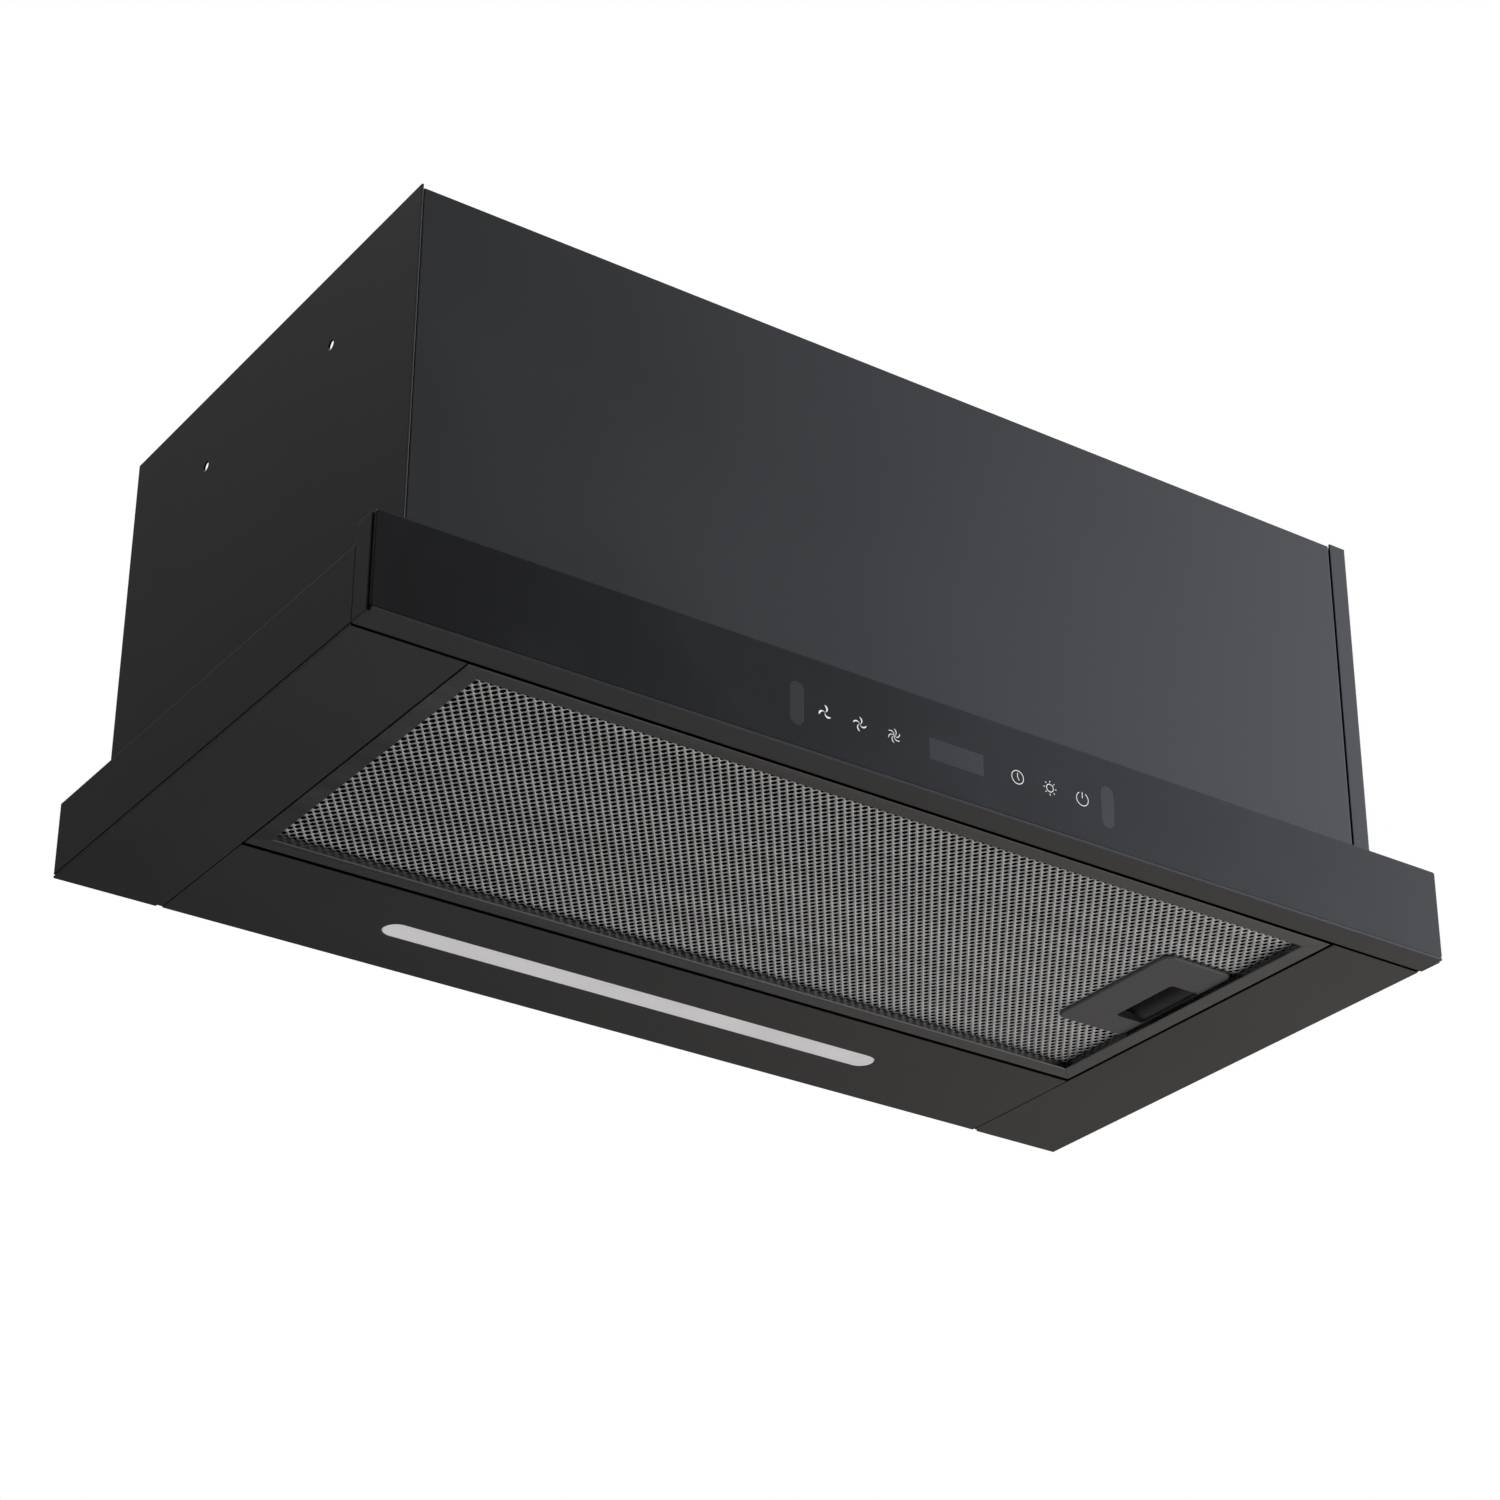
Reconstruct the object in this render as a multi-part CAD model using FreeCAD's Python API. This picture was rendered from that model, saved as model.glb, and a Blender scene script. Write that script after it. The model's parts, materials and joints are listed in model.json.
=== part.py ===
"""Telescopic under cabinet range hood, 600 mm class, one solid per separate piece.

Millimetres. X runs left to right, Y from the front glass to the back, Z up. The origin is at the
middle of the footprint, on the plane of the underside. Depths are given as distances behind the
front face and turned into Y by at_depth().
"""

import FreeCAD
import Part
import math
import os
from FreeCAD import Vector

# ---- driving dimensions -----------------------------------------------------------------------
WIDTH = 600.0  # over the front panel
DEPTH = 305.0  # front face to back
TRAY_WIDTH = 598.0  # over the side skirts
BODY_WIDTH = 552.0  # over the motor box, fits a 600 cabinet
BODY_TOP = 237.0
BODY_FRONT = 20.5
PANEL_GAP = 0.2  # play round the back and top panels
COVER_DROP = 2.0  # front cover and top panel sit this far below the side panels
SHEET = 1.0  # steel sheet
SKIRT_TOP = 39.6
SKIRT_BASE = 1.9  # leaves a shadow gap above the wing's sheet
TRAY_FRONT = 17.6
SEAM = 0.6  # gap between neighbouring sheets

PANEL_HEIGHT = 48.0
PANEL_BACK = 15.4
GLASS_FACE = 0.15
GLASS_THICK = 2.5
CARRIER_SHEET = 1.2

WING_EDGE = 243.4  # filter opening, each side of the middle
OPENING_BACK = 222.6
REAR_PANEL_FRONT = 223.6
FLANGE_TOP = 12.0  # up-turned edges round the filter opening

FILTER_HALF = 242.2
FILTER_FRONT = 18.2
FILTER_BACK = 221.2
FILTER_BASE = 0.3
FILTER_TOP = 9.0
FILTER_BORDER = 9.7
MITRE_GAP = 0.1

LENS_LENGTH = 290.0
LENS_WIDTH = 14.5
LENS_DEPTH = 263.4

BEZEL_X = (189.4, 232.3)
BEZEL_D = (77.5, 165.3)
POCKET_X = (213.4, 231.6)
POCKET_D = (103.0, 147.0)
LATCH_MIDDLE = 125.0
BOLT_WIDTH = 13.4
BOLT_TIP = 248.4
BOLT_Z = (4.9, 7.6)

RAIL_OUTER = 275.2
RAIL_INNER = 262.0
RAIL_Z = (13.0, 37.0)
RAIL_D = (24.0, 300.0)
INNER_RAIL_D = (19.0, 285.0)
INNER_RAIL_Z = (15.5, 34.5)
GLIDE_D = (26.0, 96.0)
GLIDE_LENGTH = 20.0

VISOR_D = (20.0, 200.0)
VISOR_Z = (15.0, 33.0)
VISOR_LEDGE = 13.0

FAN_DEPTH = 207.5
FAN_Z = 137.0
IMPELLER_R = 62.0
BLADE_INNER_R = 50.0
BLADE_COUNT = 36
IMPELLER_HALF = 52.0
SCROLL_HALF = 56.0
SCROLL_WALL = 2.0
THROAT_TOP = 233.6
INLET_R = 49.0
SHAFT_R = 4.0
BEARING_BORE_R = 4.03
BEARING_R = 8.0
MOTOR_R = 40.0
MOTOR_X = (-70.0, -12.0)

COLLAR_R = 75.0
COLLAR_WALL = 2.0
COLLAR_TOP = 262.0
COLLAR_FLANGE_R = 88.0
SEAT_R = 70.5
FLAP_R = 71.8
FLAP_THICK = 0.8
FLAP_Z = 238.9
FLAP_EDGE = 1.7  # gap from the pin's middle to each flap's straight edge
PIN_R = 1.5
KNUCKLE_R = 3.0
KNUCKLE_BORE_R = 1.56

SIDE_HOLE_R = 2.5
SIDE_HOLE_D = (100.0, 225.0)
SIDE_HOLE_Z = 195.0

GLAND_X = 200.0
GLAND_DEPTH = 265.0
GLAND_BORE_R = 4.0
GLAND_BARREL_R = 8.0

SCREW_R = 1.9
SCREW_HOLE_R = 2.05
SCREW_HEAD_R = 3.6
SCREW_HEAD_H = 2.0

FOLD_DEPTH = 13.0  # edges of the front sheets folded back into the box
LAP_DEPTH = 1.6  # from the front of the box to the lap behind the front cover
LAP_WIDTH = 12.0
LID_GAP = 1.2  # folded edges stop this far below the top panel
WINDOW_X = (238.0, 260.0)  # fixing windows in the top panel, over the side holes
WINDOW_D = ((72.5, 172.5), (197.5, 294.5))
WINDOW_CORNER = 6.0

TOP_SHEET = BODY_TOP - COVER_DROP  # upper face of the top panel
BODY_HALF = BODY_WIDTH / 2
TRAY_HALF = TRAY_WIDTH / 2

X_AXIS = Vector(1, 0, 0)
Y_AXIS = Vector(0, 1, 0)
Z_AXIS = Vector(0, 0, 1)


# ---- helpers ----------------------------------------------------------------------------------
def at_depth(depth):
    """Y of a point this far behind the front face."""
    return depth - DEPTH / 2


def block(x, d, z):
    """A box from (low, high) pairs of X, depth and Z."""
    corner = Vector(x[0], at_depth(d[0]), z[0])
    return Part.makeBox(x[1] - x[0], d[1] - d[0], z[1] - z[0], corner)


def rod(radius, start, direction, length):
    """A cylinder from start, which is (X, depth, Z), along a direction."""
    base = Vector(start[0], at_depth(start[1]), start[2])
    return Part.makeCylinder(radius, length, base, direction)


def tube(outer, inner, start, direction, length):
    """A round tube from start along a direction."""
    return rod(outer, start, direction, length).cut(rod(inner, start, direction, length))


def joined(shapes):
    """One solid from shapes that share faces or overlap."""
    whole = shapes[0].multiFuse(shapes[1:]) if len(shapes) > 1 else shapes[0]
    return whole.removeSplitter()


def mirrored(shape):
    """The same piece on the other side of the hood."""
    return shape.mirror(Vector(0, 0, 0), X_AXIS)


def face_of(points):
    """A flat face from the corner points of its outline."""
    return Part.Face(Part.makePolygon(points + points[:1]))


def profile_along_y(outline, d):
    """An (X, Z) outline carried from one depth to another."""
    face = face_of([Vector(x, at_depth(d[0]), z) for x, z in outline])
    return face.extrude(Vector(0, d[1] - d[0], 0))


def rounded_plate(x, d, z, radius):
    """A flat plate with round vertical corners."""
    plate = block(x, d, z)
    upright = [e for e in plate.Edges if abs(e.Vertexes[0].Z - e.Vertexes[1].Z) > (z[1] - z[0]) / 2]
    return plate.makeFillet(radius, upright)


def pill(length, width, depth, z):
    """A plate with fully round ends, long in X, centred on X = 0."""
    edge = 1e-3
    x = (-length / 2, length / 2)
    d = (depth - width / 2, depth + width / 2)
    return rounded_plate(x, d, z, width / 2 - edge)


def mitred_frame(half, d, outline):
    """Four bars of one section round a rectangle, with their ends cut at 45 degrees.

    The outline is a list of (distance in from the outer edge, Z). The bars come in the order front,
    back, left, right.
    """
    middle = (at_depth(d[0]) + at_depth(d[1])) / 2
    reach = (d[1] - d[0]) / 2

    def bar(place):
        """One bar between the sections at its two ends, each point placed by (end, distance in, Z)."""
        ends = [[place(end, s, z) for s, z in outline] for end in (-1, 1)]
        wires = [Part.makePolygon(points + points[:1]) for points in ends]
        return Part.makeLoft(wires, True, True)

    def long_bar(side):
        """The front bar for side -1, the back bar for side 1."""
        y = middle + side * reach
        return bar(lambda end, s, z: Vector(end * (half - s - MITRE_GAP), y - side * s, z))

    def short_bar(side):
        """The left bar for side -1, the right bar for side 1."""
        tip = reach - MITRE_GAP
        return bar(lambda end, s, z: Vector(side * (half - s), middle + end * (tip - s), z))

    return [long_bar(-1), long_bar(1), short_bar(-1), short_bar(1)]


def screw(x, depth, top, length):
    """A pan-head screw pointing down, with its head on the plane Z = top."""
    shank = rod(SCREW_R, (x, depth, top - length), Z_AXIS, length)
    head = rod(SCREW_HEAD_R, (x, depth, top), Z_AXIS, SCREW_HEAD_H)
    return shank.fuse(head).removeSplitter()


# ---- motor box --------------------------------------------------------------------------------
def side_holes(x0):
    """Cutters for the two cabinet fixing holes in a side panel."""
    return [rod(SIDE_HOLE_R, (x0, d, SIDE_HOLE_Z), X_AXIS, 4 * SHEET) for d in SIDE_HOLE_D]


def left_side_panel():
    """Left wall, with a hidden return behind the front cover's edge."""
    wall = block((-BODY_HALF, -BODY_HALF + SHEET), (BODY_FRONT, DEPTH), (SKIRT_TOP - SHEET, BODY_TOP))
    lap = (BODY_FRONT + LAP_DEPTH, BODY_FRONT + LAP_DEPTH + SHEET)
    hidden = block((-BODY_HALF, -BODY_HALF + LAP_WIDTH), lap, (SKIRT_TOP + 3.0, TOP_SHEET - LID_GAP))
    panel = joined([wall, hidden])
    for cutter in side_holes(-BODY_HALF - SHEET):
        panel = panel.cut(cutter)
    return panel


RETURN_WIDTH = 10.2  # the right panel's strip that shows beside the front cover
RETURN_GAP = 1.4
COVER_X = (-BODY_HALF + SHEET + 0.5, BODY_HALF - RETURN_WIDTH - RETURN_GAP)
COVER_BASE = SKIRT_TOP + 2.4


def right_side_panel():
    """Right wall, with a strip folded round to the front and back again at its edge."""
    wall = block((BODY_HALF - SHEET, BODY_HALF), (BODY_FRONT, DEPTH), (SKIRT_TOP - SHEET, BODY_TOP))
    z = (COVER_BASE, BODY_TOP)
    inner = BODY_HALF - RETURN_WIDTH
    strip = block((inner, BODY_HALF), (BODY_FRONT, BODY_FRONT + SHEET), z)
    hem_z = (z[0], TOP_SHEET - LID_GAP)
    hem = block((inner, inner + SHEET), (BODY_FRONT, BODY_FRONT + FOLD_DEPTH), hem_z)
    panel = joined([wall, strip, hem])
    for cutter in side_holes(BODY_HALF - 3 * SHEET):
        panel = panel.cut(cutter)
    return panel


def front_cover():
    """Front wall, folded in along its lower edge and down its right edge."""
    face = block(COVER_X, (BODY_FRONT, BODY_FRONT + SHEET), (COVER_BASE, TOP_SHEET))
    fold_d = (BODY_FRONT, BODY_FRONT + FOLD_DEPTH)
    lower = block((COVER_X[0] + LAP_WIDTH, COVER_X[1]), fold_d, (COVER_BASE, COVER_BASE + SHEET))
    right = block((COVER_X[1] - SHEET, COVER_X[1]), fold_d, (COVER_BASE, TOP_SHEET - LID_GAP))
    return joined([face, lower, right])


def back_panel():
    """Back wall of the motor box."""
    x = BODY_HALF - SHEET - PANEL_GAP
    return block((-x, x), (DEPTH - SHEET, DEPTH), (SKIRT_TOP + PANEL_GAP, BODY_TOP - 0.5))


COLLAR_SCREWS = [(a, 81.5) for a in (0.0, 90.0, 180.0, 270.0)]  # angle and radius
BLOWER_SCREWS = [(x, d) for x in (-68.0, 68.0) for d in (90.0, 217.0)]  # X and depth


def on_circle(angle, radius):
    """(X, depth) of a point on a circle round the outlet's axis."""
    a = math.radians(angle)
    return radius * math.cos(a), DEPTH / 2 + radius * math.sin(a)


def top_panel():
    """Roof of the motor box, with the outlet, gland and screw holes and four fixing windows."""
    x = BODY_HALF - SHEET - PANEL_GAP
    d = (BODY_FRONT + SHEET + PANEL_GAP, DEPTH - SHEET - PANEL_GAP)
    plate = block((-x, x), d, (TOP_SHEET - SHEET, TOP_SHEET))
    base = TOP_SHEET - 2 * SHEET
    through = 3 * SHEET
    cuts = [rod(COLLAR_R - COLLAR_WALL, (0, DEPTH / 2, base), Z_AXIS, through)]
    cuts.append(rod(GLAND_BARREL_R + PANEL_GAP, (GLAND_X, GLAND_DEPTH, base), Z_AXIS, through))
    places = [on_circle(a, r) for a, r in COLLAR_SCREWS] + BLOWER_SCREWS
    cuts += [rod(SCREW_HOLE_R, (px, pd, base), Z_AXIS, through) for px, pd in places]
    for window_d in WINDOW_D:
        window = rounded_plate(WINDOW_X, window_d, (base, base + through), WINDOW_CORNER)
        cuts += [window, mirrored(window)]
    for cutter in cuts:
        plate = plate.cut(cutter)
    return plate


# ---- tray -------------------------------------------------------------------------------------
def left_skirt():
    """Side of the tray, with its ledge out from the motor box and its front return."""
    x0 = -TRAY_HALF
    wall = block((x0, x0 + SHEET), (TRAY_FRONT, DEPTH), (SKIRT_BASE, SKIRT_TOP))
    ledge = block((x0, -BODY_HALF - 0.3), (TRAY_FRONT, DEPTH), (SKIRT_TOP - SHEET, SKIRT_TOP))
    front = block((x0, -BODY_HALF - SHEET), (TRAY_FRONT, TRAY_FRONT + SHEET), (SKIRT_BASE, SKIRT_TOP))
    skirt = joined([wall, ledge, front])
    bends = [e for e in skirt.Edges if outer_bend(e, x0)]
    return skirt.makeFillet(0.7, bends)


def outer_bend(edge, x0):
    """True for the skirt's long upper edge and its upright front edge."""
    a, b = edge.Vertexes[0].Point, edge.Vertexes[-1].Point
    on_wall = abs(a.x - x0) < 0.01 and abs(b.x - x0) < 0.01
    along_top = abs(a.z - SKIRT_TOP) < 0.01 and abs(b.z - SKIRT_TOP) < 0.01
    return on_wall and along_top and abs(a.y - b.y) > 10.0


TAB_D = (50.0, 170.0)  # where the filter's two hanging tabs start
TAB_LENGTH = 20.0
NOTCH = (2.6, 1.5)  # assembly notches at the rear corners


def left_wing(with_tab_slots=True):
    """Underside sheet beside the filter, turned up at the opening, the front and the skirt."""
    outer = -TRAY_HALF
    inner = -WING_EDGE
    sheet = block((outer, inner), (TRAY_FRONT, DEPTH), (0.0, SHEET))
    edge = block((inner - SHEET, inner), (TRAY_FRONT, OPENING_BACK), (0.0, FLANGE_TOP))
    front = block((-BODY_HALF - SHEET + 0.4, inner), (TRAY_FRONT, TRAY_FRONT + SHEET), (0.0, FLANGE_TOP))
    weld = block((outer + 2.5, outer + 3.5), (TRAY_FRONT + 2.0, DEPTH - 2.0), (0.0, 10.0))
    wing = joined([sheet, edge, front, weld])
    notch = block((inner - NOTCH[0], inner + 1.0), (DEPTH - NOTCH[1], DEPTH + 1.0), (-1.0, 2.0))
    wing = wing.cut(notch)
    if with_tab_slots:
        for d in TAB_D:
            slot = block((inner - 2.0, inner + 1.0), (d - 0.6, d + TAB_LENGTH + 0.6), (3.4, 10.6))
            wing = wing.cut(slot)
    return wing


def right_wing():
    """Mirror of the left wing, with the latch bolt's slot in place of the tab slots."""
    wing = mirrored(left_wing(with_tab_slots=False))
    return wing.cut(bolt_slot(WING_EDGE - 1.0, WING_EDGE + 2.0))


def bolt_slot(x0, x1):
    """Cutter for the latch bolt's way through an upright sheet."""
    d = (LATCH_MIDDLE - BOLT_WIDTH / 2 - 0.5, LATCH_MIDDLE + BOLT_WIDTH / 2 + 0.5)
    return block((x0, x1), d, (BOLT_Z[0] - 0.5, BOLT_Z[1] + 0.5))


def latch_keeper():
    """Strike plate behind the slot that the latch bolt enters."""
    x0 = WING_EDGE + SHEET + 0.1
    plate = block((x0, x0 + 1.5), (LATCH_MIDDLE - 16.0, LATCH_MIDDLE + 16.0), (1.2, 11.4))
    return plate.cut(bolt_slot(x0 - 1.0, x0 + 3.0))


def rear_light_panel():
    """Underside sheet behind the filter, with the lamp's slot."""
    x = WING_EDGE - SEAM
    sheet = block((-x, x), (REAR_PANEL_FRONT, DEPTH - 0.4), (0.0, SHEET))
    edge = block((-x, x), (REAR_PANEL_FRONT, REAR_PANEL_FRONT + SHEET), (0.0, FLANGE_TOP))
    slot = pill(LENS_LENGTH + 0.8, LENS_WIDTH + 0.8, LENS_DEPTH, (-1.0, 2.0))
    return joined([sheet, edge]).cut(slot)


def tray_rear_wall():
    """Back of the tray, between the skirts."""
    x = TRAY_HALF - SHEET - 0.2
    return block((-x, x), (DEPTH - SHEET, DEPTH), (1.2, SKIRT_TOP - SHEET - 0.2))


def front_cross_rail():
    """Angle that the filter's front edge closes against and that stiffens the tray."""
    x = WING_EDGE - 0.2
    flat = block((-x, x), (TRAY_FRONT + 1.4, TRAY_FRONT + 13.0), (9.8, 10.8))
    lip = block((-x, x), (TRAY_FRONT + 12.0, TRAY_FRONT + 13.0), (9.8, 12.6))
    return joined([flat, lip])


def light_lens():
    """Long diffuser, with a flange that rests on the inside of the rear panel."""
    window = pill(LENS_LENGTH, LENS_WIDTH, LENS_DEPTH, (0.2, 1.1))
    flange = pill(LENS_LENGTH + 8.0, LENS_WIDTH + 8.0, LENS_DEPTH, (SHEET + 0.1, 2.6))
    return joined([window, flange])


HOUSING_HALF = 156.0
HOUSING_WIDTH = 15.0


def light_housing():
    """Sheet channel over the lamp, closed at its ends."""
    d = (LENS_DEPTH - HOUSING_WIDTH, LENS_DEPTH + HOUSING_WIDTH)
    outer = block((-HOUSING_HALF, HOUSING_HALF), d, (SHEET + 0.1, 17.0))
    x = (-HOUSING_HALF + 1.2, HOUSING_HALF - 1.2)
    inner = block(x, (d[0] + 1.2, d[1] - 1.2), (0.0, 15.8))
    return outer.cut(inner)


LED_COUNT = 24


def led_board():
    """Strip board with a row of light-emitting packages facing down."""
    board = block((-148.0, 148.0), (LENS_DEPTH - 6.0, LENS_DEPTH + 6.0), (14.0, 15.6))
    pitch = 12.0
    first = -pitch * (LED_COUNT - 1) / 2
    packages = []
    for i in range(LED_COUNT):
        x = first + i * pitch
        packages.append(block((x - 1.5, x + 1.5), (LENS_DEPTH - 1.5, LENS_DEPTH + 1.5), (13.2, 14.0)))
    return joined([board] + packages)


# ---- slide rails ------------------------------------------------------------------------------
def right_outer_rail():
    """Fixed channel open towards the visor, on a foot that stands on the wing."""
    web = RAIL_OUTER - 1.2
    outline = [
        (RAIL_INNER, RAIL_Z[0]),
        (web, RAIL_Z[0]),
        (web, SHEET),
        (290.0, SHEET),
        (290.0, SHEET + 1.2),
        (RAIL_OUTER, SHEET + 1.2),
        (RAIL_OUTER, RAIL_Z[1]),
        (RAIL_INNER, RAIL_Z[1]),
        (RAIL_INNER, RAIL_Z[1] - 1.2),
        (web, RAIL_Z[1] - 1.2),
        (web, RAIL_Z[0] + 1.2),
        (RAIL_INNER, RAIL_Z[0] + 1.2),
    ]
    return profile_along_y(outline, RAIL_D)


def right_inner_rail():
    """Sliding channel, fixed to the side of the visor frame."""
    back = RAIL_INNER + 0.2
    tip = RAIL_OUTER - 3.2
    z0, z1 = INNER_RAIL_Z
    outline = [
        (back, z0),
        (tip, z0),
        (tip, z0 + 1.2),
        (back + 1.2, z0 + 1.2),
        (back + 1.2, z1 - 1.2),
        (tip, z1 - 1.2),
        (tip, z1),
        (back, z1),
    ]
    return profile_along_y(outline, INNER_RAIL_D)


def rail_glides():
    """Nylon liners that the sliding channels run in, two in each fixed channel."""
    web = RAIL_OUTER - 1.3
    z0, z1 = RAIL_Z[0] + 1.3, RAIL_Z[1] - 1.3
    outline = [
        (RAIL_INNER + 3.0, z0),
        (web, z0),
        (web, z1),
        (RAIL_INNER + 3.0, z1),
        (RAIL_INNER + 3.0, z1 - 0.9),
        (web - 1.5, z1 - 0.9),
        (web - 1.5, z0 + 0.9),
        (RAIL_INNER + 3.0, z0 + 0.9),
    ]
    right = [profile_along_y(outline, (d, d + GLIDE_LENGTH)) for d in GLIDE_D]
    return right + [mirrored(g) for g in right]


# ---- visor ------------------------------------------------------------------------------------
def visor_frame():
    """Open rectangular frame of folded sheet, with two tabs forward to the front carrier."""
    wall = 1.2
    x = RAIL_INNER
    outer = block((-x, x), VISOR_D, VISOR_Z)
    inner = block((-x + wall, x - wall), (VISOR_D[0] + wall, VISOR_D[1] - wall), (VISOR_Z[0] + wall, 50.0))
    hole_x = x - wall - VISOR_LEDGE
    hole_d = (VISOR_D[0] + wall + VISOR_LEDGE, VISOR_D[1] - wall - VISOR_LEDGE)
    hole = block((-hole_x, hole_x), hole_d, (0.0, 50.0))
    frame = outer.cut(inner).cut(hole)
    tabs = [block((s - 20.0, s + 20.0), (PANEL_BACK, VISOR_D[0]), (18.0, 30.0)) for s in (-180.0, 180.0)]
    return joined([frame] + tabs)


VISOR_FILTER_HALF = 260.4
VISOR_FILTER_D = (21.6, 198.4)
VISOR_FILTER_Z = (16.3, 24.3)


def visor_filter_frame():
    """Roll-formed edge of the visor's own filter."""
    z0, z1 = VISOR_FILTER_Z
    outline = [
        (0.0, z0),
        (14.5, z0),
        (14.5, z0 + 3.2),
        (13.7, z0 + 3.2),
        (13.7, z0 + 1.0),
        (1.0, z0 + 1.0),
        (1.0, z1 - 1.0),
        (14.5, z1 - 1.0),
        (14.5, z1),
        (0.0, z1),
    ]
    return mitred_frame(VISOR_FILTER_HALF, VISOR_FILTER_D, outline)


def visor_filter_mesh():
    """Mesh layers of the visor's filter, as one closed sheet."""
    x = VISOR_FILTER_HALF - 1.3
    d = (VISOR_FILTER_D[0] + 1.3, VISOR_FILTER_D[1] - 1.3)
    return block((-x, x), d, (VISOR_FILTER_Z[0] + 3.3, VISOR_FILTER_Z[0] + 5.3))


def front_carrier():
    """Folded sheet behind the glass, with the lower lip that shows below it."""
    x = (-WIDTH / 2 + 1.2, WIDTH / 2 - 1.2)
    t = CARRIER_SHEET
    back = block(x, (PANEL_BACK - t, PANEL_BACK), (0.0, PANEL_HEIGHT))
    lip = block(x, (0.0, PANEL_BACK), (0.0, t))
    glass_back = GLASS_FACE + GLASS_THICK + 0.2
    top = block(x, (glass_back, PANEL_BACK), (PANEL_HEIGHT - t, PANEL_HEIGHT))
    upper_return = block(x, (glass_back, glass_back + 1.0), (PANEL_HEIGHT - 9.0, PANEL_HEIGHT))
    lower_return = block(x, (glass_back, glass_back + 1.0), (0.0, 9.0))
    return joined([back, lip, top, upper_return, lower_return])


def right_end_cap():
    """End plate of the front carrier, with two pegs into its hollow."""
    inner = WIDTH / 2 - 1.2
    front = GLASS_FACE + GLASS_THICK + 0.1
    plate = block((inner, WIDTH / 2), (front, PANEL_BACK), (0.0, PANEL_HEIGHT))
    shown = [e for e in plate.Edges if all(abs(v.X - WIDTH / 2) < 0.01 for v in e.Vertexes)]
    plate = plate.makeFillet(0.4, shown)
    pegs = [block((inner - 9.0, inner), (6.0, 13.0), (z, z + 5.0)) for z in (12.0, 31.0)]
    return joined([plate] + pegs)


def glass_front():
    """Black glass touch panel with eased edges."""
    x = WIDTH / 2 - 0.8
    d = (GLASS_FACE, GLASS_FACE + GLASS_THICK)
    pane = block((-x, x), d, (CARRIER_SHEET + 0.2, PANEL_HEIGHT))
    front = [e for e in pane.Edges if all(abs(v.Y - at_depth(GLASS_FACE)) < 0.01 for v in e.Vertexes)]
    return pane.makeChamfer(0.3, front)


PILL_X = (-86.8, 89.3)
PILL_SIZE = (7.6, 21.8)
CONTROL_Z = 22.6
DISPLAY_X = (-13.9, 16.8)
DISPLAY_Z = (16.9, 28.0)
KEY_X = (-71.5, -52.5, -33.5, 36.5, 55.3, 74.4)
BOARD_D = (4.5, 6.1)


def touch_board():
    """Control board behind the glass, with a touch pad at each key and a plug at the back."""
    board = block((-104.0, 106.0), BOARD_D, (9.4, 38.6))
    face = BOARD_D[0]
    pads = [rod(4.5, (x, face - 1.4, CONTROL_Z), Y_AXIS, 1.4) for x in KEY_X]
    chip = block((-8.0, 12.0), (BOARD_D[1], BOARD_D[1] + 1.8), (14.0, 30.0))
    plug = block((84.0, 100.0), (BOARD_D[1], BOARD_D[1] + 6.0), (12.0, 22.0))
    return joined([board] + pads + [chip, plug])


def display_module():
    """Segment display between the board and the glass."""
    return block(DISPLAY_X, (GLASS_FACE + GLASS_THICK + 0.1, BOARD_D[0]), DISPLAY_Z)


def gesture_sensors():
    """The two oblong sensors that watch for a hand through the glass."""
    d = (GLASS_FACE + GLASS_THICK + 0.1, BOARD_D[0])
    half = PILL_SIZE[0] / 2
    reach = PILL_SIZE[1] / 2 - half
    sensors = []
    for x in PILL_X:
        middle = block((x - half, x + half), d, (CONTROL_Z - reach, CONTROL_Z + reach))
        ends = [rod(half, (x, d[0], CONTROL_Z + s * reach), Y_AXIS, d[1] - d[0]) for s in (-1, 1)]
        sensors.append(joined([middle] + ends))
    return sensors


# ---- grease filter ----------------------------------------------------------------------------
MESH_Z = (4.1, 4.7)
CORE_Z = (4.8, 7.9)


def filter_frame():
    """Four roll-formed edges, mitred at the corners, the right one slotted for the bolt.

    The face below is flat, and its inner edge is turned up to the mesh.
    """
    border = FILTER_BORDER
    outline = [
        (0.3, FILTER_BASE),
        (border - 0.4, FILTER_BASE),
        (border, FILTER_BASE + 0.4),
        (border, 4.0),
        (border - 0.8, 4.0),
        (border - 0.8, FILTER_BASE + 1.0),
        (1.0, FILTER_BASE + 1.0),
        (1.0, FILTER_TOP - 1.0),
        (border, FILTER_TOP - 1.0),
        (border, FILTER_TOP),
        (0.0, FILTER_TOP),
        (0.0, FILTER_BASE + 0.3),
    ]
    bars = mitred_frame(FILTER_HALF, (FILTER_FRONT, FILTER_BACK), outline)
    slot = bolt_slot(FILTER_HALF - 2.0, FILTER_HALF + 1.0)
    bars[3] = bars[3].cut(slot).Solids[0]
    return bars


def filter_layer(z):
    """One flat layer of the filter, cut out round the latch."""
    x = FILTER_HALF - 1.2
    sheet = block((-x, x), (FILTER_FRONT + 1.2, FILTER_BACK - 1.2), z)
    gap = 0.2
    latch_d = (BEZEL_D[0] - gap, BEZEL_D[1] + gap)
    latch = block((BEZEL_X[0] - gap, FILTER_HALF), latch_d, (z[0] - 1.0, z[1] + 1.0))
    return sheet.cut(latch)


def filter_tabs():
    """Two tabs on the left edge that hang the filter in the wing's slots."""
    x = (-FILTER_HALF - 6.4, -FILTER_HALF)
    return [block(x, (d, d + TAB_LENGTH), (4.4, 5.6)) for d in TAB_D]


BEZEL_BASE = 2.6
BEZEL_PLATE = 1.6
BEZEL_WALL_TOP = 7.8


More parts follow.
